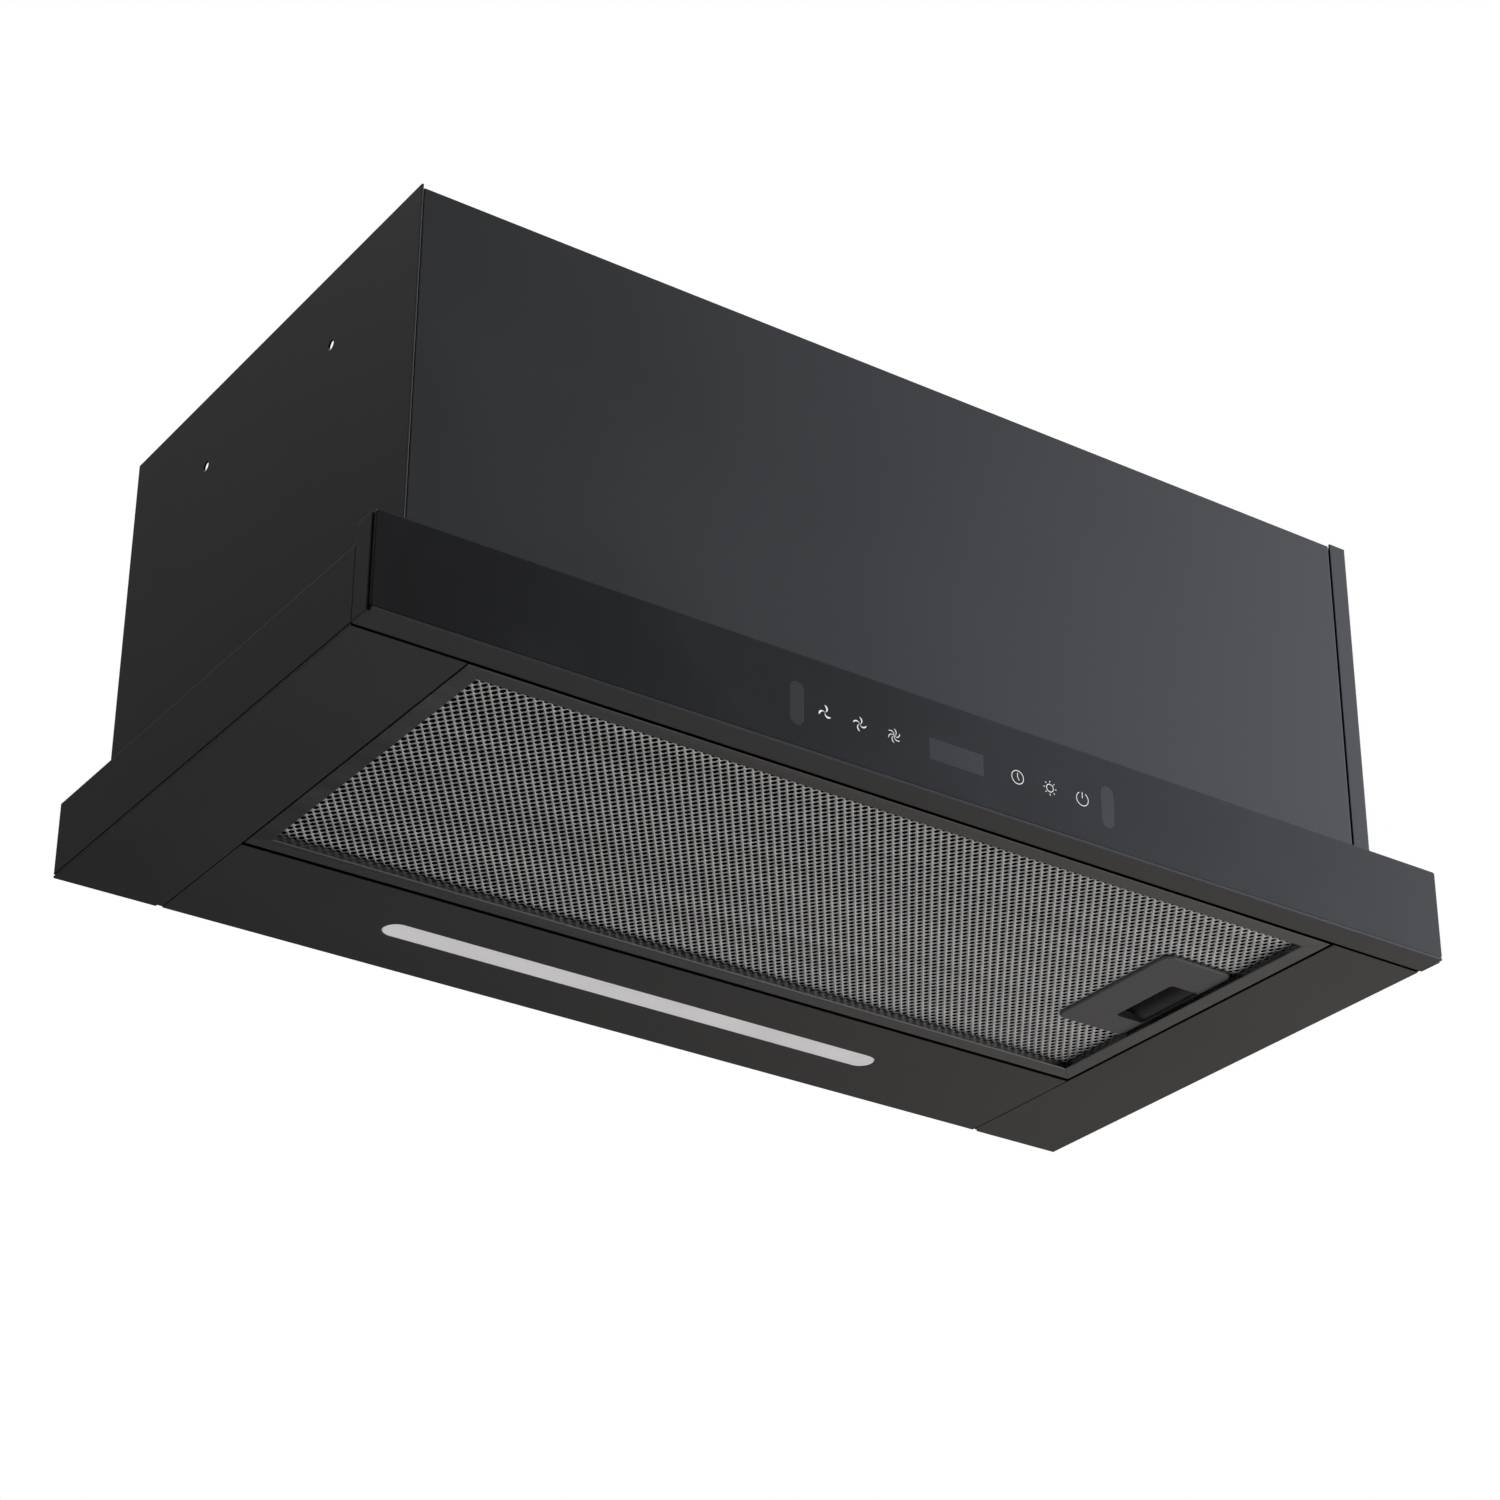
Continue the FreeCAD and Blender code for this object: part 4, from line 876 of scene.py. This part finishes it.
@dataclass
class Tray(SubAssembly):
    """The lower tray: skirts, wings, lamp panel, lamp and slide rails."""

    finishes: ClassVar[dict[str, tuple[str, ...]]] = {
        "satin_black_coat": ("left_skirt", "right_skirt", "left_wing", "right_wing", "rear_light_panel",
                             "tray_rear_wall", "front_cross_rail"),
        "galvanised_sheet": ("left_outer_rail", "right_outer_rail", "latch_keeper"),
        "white_nylon": ("rail_glides", "light_housing"),
        "opal_lamp_lens": ("light_lens",),
        "green_circuit_board": ("led_board",),
    }
    foam_span: tuple[float, float] = (0.35 * MM, 4.0 * MM)
    foam_gap: float = 0.15 * MM
    front_foam: float = 0.45 * MM

    def build(self) -> None:
        """Dresses the tray and lines the gaps in its underside with near-black foam, a painted shade in the
        seams.
        """
        self.dress()
        self.make_seals()

    def make_seals(self) -> None:
        """Sticks near-black foam as painted shade in the seams: right of the filter, behind it, in front of
        it, and where the visor shuts.
        """
        low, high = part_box("filter_frame")
        left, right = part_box("left_wing"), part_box("right_wing")
        panel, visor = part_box("rear_light_panel")[0].y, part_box("front_carrier")[1].y
        bottom, top = self.foam_span
        gap, front = self.foam_gap, visor + self.foam_gap
        strips = {
            "right_foam_shade_strip": ("housing", (high.x + gap, low.y), (right[0].x, high.y)),
            "rear_foam_shade_strip": ("housing", (low.x, high.y + gap), (high.x, panel)),
            "left_visor_foam_shade": ("housing", (left[0].x + gap, front), (left[1].x, left[0].y)),
            "right_visor_foam_shade": ("housing", (right[0].x, front), (right[1].x - gap, right[0].y)),
            "front_foam_shade_strip": ("grease_filter", (low.x, low.y - self.front_foam), (high.x, low.y)),
        }
        # Each strip is a near-black sheet of painted shade in a seam.
        for name, (body, start, end) in strips.items():
            points, faces = box_mesh((*start, bottom), (*end, top))
            piece = make_object(name, points, faces, self.rack.get("foam_seal_painted_shade"))
            self.put(piece, body, "rubber_black")


@dataclass
class Blower(SubAssembly):
    """The fan: scroll, wheel, motor and the parts that hold it."""

    finishes: ClassVar[dict[str, tuple[str, ...]]] = {
        "galvanised_sheet": ("volute_scroll", "volute_left_plate", "volute_right_plate", "motor_bracket"),
        "pressed_motor_can": ("motor_housing",),
        "enamelled_copper_wire": ("motor_stator",),
        "ground_motor_steel": ("motor_bearings", "motor_shaft", "motor_rotor"),
        "black_rubber": ("motor_grommets",),
        "natural_inner_moulding": ("impeller", "impeller_hub"),
    }


@dataclass
class Outlet(SubAssembly):
    """The spigot on top, with its two damper flaps."""

    finishes: ClassVar[dict[str, tuple[str, ...]]] = {
        "natural_inner_moulding": ("outlet_collar",),
        "ground_motor_steel": ("damper_pin",),
        "white_damper_moulding": ("left_damper_flap", "right_damper_flap"),
    }


@dataclass
class Electrics(SubAssembly):
    """The control box, its board, the capacitor and the supply gland."""

    finishes: ClassVar[dict[str, tuple[str, ...]]] = {
        "natural_inner_moulding": ("control_box", "control_box_lid"),
        "green_circuit_board": ("power_board",),
        "white_nylon": ("run_capacitor",),
        "black_rubber": ("cable_gland",),
    }


@dataclass(frozen=True)
class Lattice:
    """Sizes of one expanded metal mesh: the pitch of its openings and the shape of its strands.

    The openings are stretched by fullest at the left end of the reach, and by uneven less at the right.
    """

    pitch_x: float = 4.55 * MM
    pitch_y: float = 6.17 * MM
    start_x: float = -198.8 * MM
    start_y: float = 88.1 * MM
    opening_x: float = 1.34 * MM
    opening_y: float = 1.80 * MM
    thickness: float = 0.12 * MM
    tilt: float = 0.03 * MM
    power: float = 2.0
    reach: float = 0.242
    fullest: float = 1.05
    uneven: float = 0.2

    def cells(self, low: tuple[float, float], high: tuple[float, float]) -> np.ndarray:
        """The openings inside a rectangle, in rows that step by half a pitch.

        Args:
            low: the rectangle's corner with the smallest coordinates.
            high: the opposite corner.

        Returns:
            The middle of each opening, two numbers each.
        """
        step_x, step_y = self.pitch_x, self.pitch_y / 2
        first_x, last_x = (low[0] - self.start_x) / step_x, (high[0] - self.start_x) / step_x
        first_y, last_y = (low[1] - self.start_y) / step_y, (high[1] - self.start_y) / step_y
        columns = np.arange(math.ceil(first_x), last_x)
        rows = np.arange(math.ceil(first_y), last_y)
        x, y = np.meshgrid(self.start_x + columns * step_x, self.start_y + rows * step_y)
        x = x + (rows % 2)[:, None] * step_x / 2
        return np.column_stack([x.ravel(), y.ravel()])

    def sheet(self, centres: np.ndarray) -> tuple[np.ndarray, np.ndarray]:
        """The front face of the mesh round those openings.

        Round each centre, the outer ring is the diamond that its neighbours share, and the inner ring is
        a superellipse: |x/a| and |y/b| to a power, added up, make 1. The inner ring is lifted in
        proportion to its distance along, so every strand lies tilted between its two openings. The inner
        rings shrink evenly towards the right, so the openings there are smaller.

        Args:
            centres: the middle of each opening.

        Returns:
            Points (across, along, out) with the middle of the sheet at 0, and quads.
        """
        cells, half = len(centres), np.array([self.pitch_x, self.pitch_y]) / 2
        diamond = [[1, 0], [0.5, 0.5], [0, 1], [-0.5, 0.5], [-1, 0], [-0.5, -0.5], [0, -1], [0.5, -0.5]]
        count = len(diamond)
        angle = np.arange(count) * 2 * math.pi / count
        round_ring = np.column_stack([np.cos(angle), np.sin(angle)])
        inner = np.sign(round_ring) * np.abs(round_ring) ** (2 / self.power)
        outer_rim = np.column_stack([np.array(diamond) * half, np.zeros(count)])
        inner_rim = np.column_stack([inner * [self.opening_x, self.opening_y], -inner[:, 1] * self.tilt])
        share = (centres[:, 0] + self.reach) / (2 * self.reach)
        stretch = self.fullest - self.uneven * np.clip(share, 0.0, 1.0)
        outer_rims = np.tile(outer_rim, (cells, 1, 1))
        rims = np.concatenate([outer_rims, inner_rim * stretch[:, None, None]], axis=1)
        points = (np.column_stack([centres, np.zeros(cells)])[:, None, :] + rims).reshape(-1, 3)
        ring = np.arange(count)
        following = (ring + 1) % count
        quads = np.stack([ring, following, following + count, ring + count], axis=1)
        faces = (np.arange(cells)[:, None, None] * 2 * count + quads[None]).reshape(-1, 4)
        shared, number = np.unique(np.round(points, WELD_DIGITS), axis=0, return_inverse=True)
        return shared, number.ravel()[faces]

    def halves(
        self, name: str, centres: np.ndarray, split: float, level: float, material: bpy.types.Material
    ) -> Iterator[bpy.types.Object]:
        """Makes the mesh in a left and a right piece, facing down.

        Args:
            name: the pieces' name, before their side.
            centres: the middle of each opening.
            split: where along X the pieces part.
            level: height of the sheet.
            material: the finish of the strands.

        Returns:
            The left piece, then the right one.
        """
        for side, chosen in (("left", centres[:, 0] <= split), ("right", centres[:, 0] > split)):
            points, quads = self.sheet(centres[chosen])
            points = Facing.DOWN.lay(points) + [0, 0, level]
            piece = make_object(f"{name}_{side}", points, [quads], material)
            thicken(piece, "strand_thickness", self.thickness)
            yield piece


@dataclass
class GreaseFilter(SubAssembly):
    """The drop-down filter: frame, bright mesh over core layers painted near-black as painted shade, bezel,
    latch and tabs.
    """

    finishes: ClassVar[dict[str, tuple[str, ...]]] = {
        "dark_anodised_frame": ("filter_frame",),
        "grey_bezel_moulding": ("latch_bezel",),
        "latch_moulding_painted_shade": ("latch_slider",),
        "ground_motor_steel": ("filter_tabs", "latch_spring"),
    }
    lattice: Lattice = Lattice()
    margin: float = 6.5 * MM
    face_depth: float = 4.42 * MM
    latch_overlap: float = 2.2 * MM
    core_depth: float = 7.2 * MM
    core_swell: float = 0.45 * MM
    core_wall: float = 0.5 * MM
    core_grid: tuple[int, int] = (260, 110)
    core_waves: Triple = (0.9, 1.1, 0.3)

    def build(self) -> None:
        """Makes the mesh in two halves and the core behind it."""
        self.dress()
        self.make_mesh()
        self.make_core()

    def make_mesh(self) -> None:
        """Lays the expanded mesh in the frame, left out where the latch bezel stands."""
        low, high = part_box("filter_frame")
        latch_low, latch_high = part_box("latch_bezel")
        centres = self.lattice.cells(
            (low.x + self.margin, -high.y + self.margin), (high.x - self.margin, -low.y - self.margin)
        )
        behind_latch = (
            (centres[:, 0] > latch_low.x + self.latch_overlap)
            & (centres[:, 1] > -latch_high.y + self.latch_overlap)
            & (centres[:, 1] < -latch_low.y - self.latch_overlap)
        )
        centres = centres[~behind_latch]
        middle = float(np.median(centres[:, 0]))
        strand = self.rack.get("bright_mesh_strand")
        for piece in self.lattice.halves("filter_mesh", centres, middle, self.face_depth, strand):
            self.put(piece, "grease_filter", "aluminium_mesh")
            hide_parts("filter_mesh")

    def make_core(self) -> None:
        """Makes the crumpled core layers, painted near-black: a painted shade behind the mesh.

        The sheet's height is its depth plus a swell. The swell is a sine of X times a sine of Y, and the
        second sine is shifted in step with X. The waves hold their turns per millimetre, in radians.
        """
        low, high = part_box("filter_core")
        columns, rows = self.core_grid
        wave_x, wave_y, shift = self.core_waves
        steps_x, steps_y = np.linspace(low.x, high.x, columns), np.linspace(low.y, high.y, rows)
        x, y = np.meshgrid(steps_x, steps_y, indexing="ij")
        swell = np.sin(x / MM * wave_x) * np.sin(y / MM * wave_y + x / MM * shift)
        points = np.stack([x, y, self.core_depth + self.core_swell * swell], axis=-1).reshape(-1, 3)
        quads = grid_faces(columns, rows, closed=False)
        piece = make_object("filter_core_layers", points, [quads], self.rack.get("painted_shade_core_layer"))
        thicken(piece, "layer_thickness", self.core_wall)
        self.put(piece, "grease_filter", "aluminium_mesh")
        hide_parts("filter_core")


class KeySign(Enum):
    """The signs over the touch keys, with their places along the front in millimetres."""

    FAN_LOW = -71.5
    FAN_MIDDLE = -52.5
    FAN_HIGH = -33.5
    TIMER = 36.5
    LAMP = 55.3
    POWER = 74.4


FAN_BLADES = {KeySign.FAN_LOW: 3, KeySign.FAN_MIDDLE: 4, KeySign.FAN_HIGH: 6}


@dataclass
class Visor(SubAssembly):
    """The pull-out front: glass with its keys, carrier, end caps and the filter behind."""

    finishes: ClassVar[dict[str, tuple[str, ...]]] = {
        "satin_black_coat": ("front_carrier", "left_end_cap", "right_end_cap", "visor_frame"),
        "dark_anodised_frame": ("visor_filter_frame",),
        "green_circuit_board": ("touch_board",),
        "grey_sensor_window": ("display_module", "gesture_sensors"),
        "galvanised_sheet": ("left_inner_rail", "right_inner_rail"),
    }
    arris: float = 0.35 * MM
    glass_corner: float = 1.2 * MM
    window_places: tuple[float, float] = (-86.8 * MM, 89.3 * MM)
    window_size: tuple[float, float] = (7.6 * MM, 21.8 * MM)
    window_corner: float = 3.8 * MM
    display_corner: float = 0.3 * MM
    window_bevel: float = 0.02 * MM
    window_levels: Triple = (0.01 * MM, 0.03 * MM, 0.04 * MM)
    sign_height: float = 22.6 * MM
    sign_radius: float = 3.65 * MM
    stroke: float = 0.38 * MM
    print_back: float = 0.01 * MM
    print_front: float = 0.07 * MM
    blade_root: float = 0.16 * MM
    blade_turn: float = 62.0
    clock_inset: float = 0.25 * MM
    clock_hands: tuple[tuple[float, float], ...] = ((0.0, 2.3), (0.0, 0.1), (0.9, -1.4))
    lamp_radius: float = 0.54
    lamp_rays: tuple[float, float] = (0.80, 1.04)
    ray_count: int = 8
    power_inset: float = 0.2 * MM
    power_bar: tuple[tuple[float, float], ...] = ((0.0, 3.6), (0.0, 1.8), (0.0, 0.4))
    mesh_margin: float = 2.0 * MM

    def build(self) -> None:
        """Makes the glass, its windows, its signs and the visor's mesh."""
        self.dress()
        self.make_glass()
        self.make_windows()
        for sign in KeySign:
            self.make_sign(sign)
        self.make_mesh()

    def make_glass(self) -> None:
        """Makes the glass with ground edges and small corner radii."""
        low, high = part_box("glass_front")
        centre, half = (low + high) / 2, (high - low) / 2
        depth = half.y
        profile = np.array([[self.arris, -depth], [0, -depth + self.arris], [0, depth - self.arris],
                            [self.arris * 0.3, depth - self.arris * 0.3], [self.arris, depth]])
        points, faces = slab(half.x, half.z, self.glass_corner, profile)
        points = Facing.FRONT.lay(points) + np.array(centre)
        piece = make_object("touch_glass", points, faces, self.rack.get("black_touch_glass"))
        self.put(piece, "visor", "black_glass")
        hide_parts("glass_front")

    def make_windows(self) -> None:
        """Makes the two sensor windows and the display window, as thin plates on the glass."""
        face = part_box("glass_front")[0].y
        low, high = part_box("display_module")
        middle_x, middle_z = (low.x + high.x) / 2, (low.z + high.z) / 2
        left_x, right_x = self.window_places
        display_size = (high.x - low.x, high.z - low.z)
        places = (
            ("sensor_window_left", left_x, self.sign_height, self.window_size, self.window_corner),
            ("sensor_window_right", right_x, self.sign_height, self.window_size, self.window_corner),
            ("display_window", middle_x, middle_z, display_size, self.display_corner),
        )
        profile = np.column_stack([[0.0, 0.0, self.window_bevel], self.window_levels])
        for name, x, z, (width, height), radius in places:
            points, faces = slab(width / 2, height / 2, radius, profile)
            points = Facing.FRONT.lay(points) + [x, face, z]
            piece = make_object(name, points, faces, self.rack.get("grey_sensor_window"))
            self.put(piece, "visor", "sensor_grey")

    def arc(self, radius: float, start: float, end: float, steps: int = 48) -> tuple[np.ndarray, np.ndarray]:
        """A stroke along part of a circle, from start to end in degrees."""
        angle = np.radians(np.linspace(start, end, steps))
        return self.line(np.column_stack([np.cos(angle), np.sin(angle)]) * radius)

    def line(self, path: np.ndarray) -> tuple[np.ndarray, np.ndarray]:
        """A stroke of even width along a path."""
        return swept_bar(path, np.full(len(path), self.stroke), self.print_back, self.print_front)

    def spoke(self, start: float, end: float, angle: float) -> tuple[np.ndarray, np.ndarray]:
        """A straight stroke between two radii at an angle in degrees."""
        turn = math.radians(angle)
        return self.line(np.linspace(start, end, 3)[:, None] * np.array([[math.cos(turn), math.sin(turn)]]))

    def blade(self, angle: float, fullness: float) -> tuple[np.ndarray, np.ndarray]:
        """One fan blade.

        Its middle line runs out along a radius and turns sideways with the distance to the power 1.5. Its
        width swells as a sine towards the tip and closes there as a half circle does.

        Args:
            angle: where the blade starts, in degrees.
            fullness: the widest part of the blade in metres.

        Returns:
            Points and quads.
        """
        share = np.linspace(0.0, 1.0, 22)
        radius = self.sign_radius * (0.06 + 0.94 * share)
        turn = np.radians(angle + self.blade_turn * share**1.5)
        path = np.column_stack([np.cos(turn), np.sin(turn)]) * radius[:, None]
        width = self.blade_root + fullness * np.sin(share**1.6 * math.pi * 0.86)
        width = width * np.sqrt(np.clip(1.0 - np.clip((share - 0.8) / 0.2, 0, 1) ** 2, 0.02, 1))
        return swept_bar(path, width, self.print_back, self.print_front)

    def make_sign(self, sign: KeySign) -> None:
        """Makes the sign of one key: a fan, a clock, a lamp or a power ring.

        Args:
            sign: the key's sign.
        """
        radius = self.sign_radius
        if sign in FAN_BLADES:
            count = FAN_BLADES[sign]
            fullness = (2.7 / count - 0.18) * MM
            parts = [self.blade(30.0 + 360.0 * k / count, fullness) for k in range(count)]
        elif sign is KeySign.TIMER:
            parts = [self.arc(radius - self.clock_inset, 0, 360), self.line(np.array(self.clock_hands) * MM)]
        elif sign is KeySign.LAMP:
            near, far = (radius * share for share in self.lamp_rays)
            rays = [self.spoke(near, far, 360.0 * k / self.ray_count) for k in range(self.ray_count)]
            parts = [self.arc(radius * self.lamp_radius, 0, 360), *rays]
        else:
            parts = [self.arc(radius - self.power_inset, 120, 420), self.line(np.array(self.power_bar) * MM)]
        points, quads = joined(parts)
        place = [sign.value * MM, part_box("glass_front")[0].y, self.sign_height]
        points = Facing.FRONT.lay(points) + place
        piece = make_object("key_" + sign.name.lower(), points, [quads], self.rack.get("white_key_print"))
        self.put(piece, "visor", "sensor_grey")

    def make_mesh(self) -> None:
        """Lays the expanded mesh of the visor's own filter, in two halves."""
        low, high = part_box("visor_filter_mesh")
        lattice, margin = Lattice(), self.mesh_margin
        centres = lattice.cells((low.x + margin, -high.y + margin), (high.x - margin, -low.y - margin))
        strand = self.rack.get("bright_mesh_strand")
        for piece in lattice.halves("visor_mesh", centres, 0.0, (low.z + high.z) / 2, strand):
            self.put(piece, "visor", "aluminium_mesh")
            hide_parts("visor_filter_mesh")


# ---------------------------------------------------------------- studio


@dataclass(frozen=True)
class Softbox:
    """A square soft light that points at the hood."""

    name: str
    place: tuple[float, float, float]
    size: float
    power: float
    colour: Colour
    aim: tuple[float, float, float] = (0.0, 0.0, 0.1)

    def hang(self) -> None:
        """Adds the light, out of the camera's sight."""
        light = bpy.data.lights.new(self.name, "AREA")
        light.shape = "SQUARE"
        light.size = self.size
        light.energy = self.power
        light.color = self.colour
        lamp = bpy.data.objects.new(self.name, light)
        lamp.location = self.place
        lamp.rotation_euler = (Vector(self.aim) - Vector(self.place)).to_track_quat("-Z", "Y").to_euler()
        lamp.visible_camera = False
        bpy.context.scene.collection.objects.link(lamp)


@dataclass(frozen=True)
class Studio:
    """The camera, the pale floor and the soft lights."""

    camera_place: tuple[float, float, float] = (-0.899428, -1.310658, -0.757836)
    camera_turn: tuple[float, float, float] = (118.14324, -0.24666, -34.35968)
    lens: float = 88.085
    sensor_width: float = 36.0
    floor_level: float = -2.0
    floor_middle: float = 0.001
    floor_reach: float = 3.0
    ring_reach: float = 14.0
    floor_points: int = 96
    floor_tones: tuple[Colour, Colour] = ((0.80, 0.79, 0.77), (0.84, 0.83, 0.81))
    room_dim: float = 0.035
    room_right: float = 3.3
    room_low: float = 1.0
    room_top: float = 0.33
    right_span: tuple[float, float] = (0.2, 0.75)
    ahead_span: tuple[float, float] = (0.25, -0.35)
    low_right_span: tuple[float, float] = (0.34, 0.80)
    low_span: tuple[float, float] = (-0.15, -0.4)
    top_span: tuple[float, float] = (0.25, 0.9)
    plain_tint: Colour = (1.0, 0.98, 0.96)
    right_tint: Colour = (0.86, 0.91, 1.0)
    low_tint: Colour = (1.0, 0.94, 0.88)
    lights: tuple[Softbox, ...] = (
        Softbox("low_softbox", (1.2, -0.5, -1.95), 1.6, 6.0, (1.0, 0.98, 0.96)),
        Softbox("top_softbox", (-0.3, 0.9, 3.2), 3.0, 60.0, (1.0, 0.99, 0.97)),
    )

    def build(self) -> None:
        """Sets up everything that is not the hood."""
        self.hang_camera()
        self.lay_floor()
        self.light_up()

    def hang_camera(self) -> None:
        """Places the camera below the hood, at its front left."""
        data = bpy.data.cameras.new("camera")
        data.lens = self.lens
        data.sensor_width = self.sensor_width
        data.clip_start = 0.01
        data.clip_end = 100.0
        camera = bpy.data.objects.new("camera", data)
        camera.location = self.camera_place
        camera.rotation_euler = [math.radians(angle) for angle in self.camera_turn]
        bpy.context.scene.collection.objects.link(camera)
        bpy.context.scene.camera = camera

    def lay_floor(self) -> None:
        """Makes the floor: a disc, and a wide ring round it that only the camera sees.

        The points lie on three circles: one of almost no radius, the disc's rim and the ring's rim.
        """
        angle = np.linspace(0.0, 2 * math.pi, self.floor_points, endpoint=False)
        circle = np.column_stack([np.cos(angle), np.sin(angle), np.zeros(self.floor_points)])
        material = bpy.data.materials.new("pale_floor")
        material.use_nodes = True
        sheet = NodeSheet(material.node_tree)
        shader = material.node_tree.nodes["Principled BSDF"]
        tone = sheet.noise(sheet.place(), 3.0, 4.0)
        dark, pale = self.floor_tones
        sheet.feed(shader.inputs["Base Color"], sheet.blend(tone, rgba(dark), rgba(pale)))
        shader.inputs["Roughness"].default_value = 0.8
        faces = grid_faces(2, self.floor_points, closed=True)
        rims = (self.floor_middle, self.floor_reach, self.ring_reach)
        for name, near, far in zip(("floor", "floor_ring"), rims, rims[1:]):
            points = np.concatenate([circle * near, circle * far]) + [0, 0, self.floor_level]
            floor = make_object(name, points, [faces], material)
        floor.visible_diffuse = floor.visible_glossy = False

    def light_up(self) -> None:
        """Hangs the lights in a white room that is dim on the left and bright on the right.

        The room's light grows with the cube of the sideways part of a direction in front of the hood. It
        also grows to the right below the hood, and a little with height. The camera sees plain white. A
        span holds the parts of a direction at which a light starts and is full.
        """
        for light in self.lights:
            light.hang()
        world = bpy.data.worlds.new("white_room")
        world.use_nodes = True
        bpy.context.scene.world = world
        sheet = NodeSheet(world.node_tree)
        shade = world.node_tree.nodes["Background"]
        way = sheet.add("SeparateXYZ")
        sheet.feed(way.inputs[0], sheet.add("TexCoord").outputs["Generated"])
        right = sheet.maths("POWER", sheet.ramp(way.outputs["X"], *self.right_span), 3.0)
        ahead = sheet.ramp(way.outputs["Y"], *self.ahead_span)
        glow = sheet.ramp(sheet.maths("MULTIPLY", right, ahead), 0.0, 1.0, 0.0, self.room_right)
        below = sheet.maths("POWER", sheet.ramp(way.outputs["X"], *self.low_right_span), 1.4)
        below = sheet.maths("MULTIPLY", below, sheet.ramp(way.outputs["Z"], *self.low_span))
        below = sheet.ramp(below, 0.0, 1.0, 0.0, self.room_low)
        above = sheet.ramp(way.outputs["Z"], *self.top_span, self.room_dim, self.room_dim + self.room_top)
        light = sheet.maths("ADD", sheet.maths("ADD", glow, below), above)
        seen = sheet.add("LightPath").outputs["Is Camera Ray"]
        tint = sheet.blend(sheet.ramp(glow, 0.0, 0.5), rgba(self.plain_tint), rgba(self.right_tint))
        tint = sheet.blend(sheet.ramp(below, 0.0, 0.2), tint, rgba(self.low_tint))
        sheet.feed(shade.inputs["Color"], sheet.blend(seen, tint, rgba((1.0, 1.0, 1.0))))
        strength = sheet.add("Mix", data_type="FLOAT")
        sheet.feed(strength.inputs["Factor"], seen)
        sheet.feed(strength.inputs["A"], light)
        strength.inputs["B"].default_value = 1.0
        sheet.feed(shade.inputs["Strength"], strength.outputs["Result"])
        bpy.context.scene.view_settings.view_transform = "Standard"


def main() -> None:
    """Loads the frame and builds the hood and its studio round it."""
    logging.basicConfig(level=logging.INFO, format="%(name)s: %(message)s")
    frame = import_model()
    rack = FinishRack()
    for kind in (MotorBox, Tray, Blower, Outlet, Electrics, GreaseFilter, Visor):
        kind(frame, rack).build()
    Studio().build()


if __name__ == "__main__":
    main()
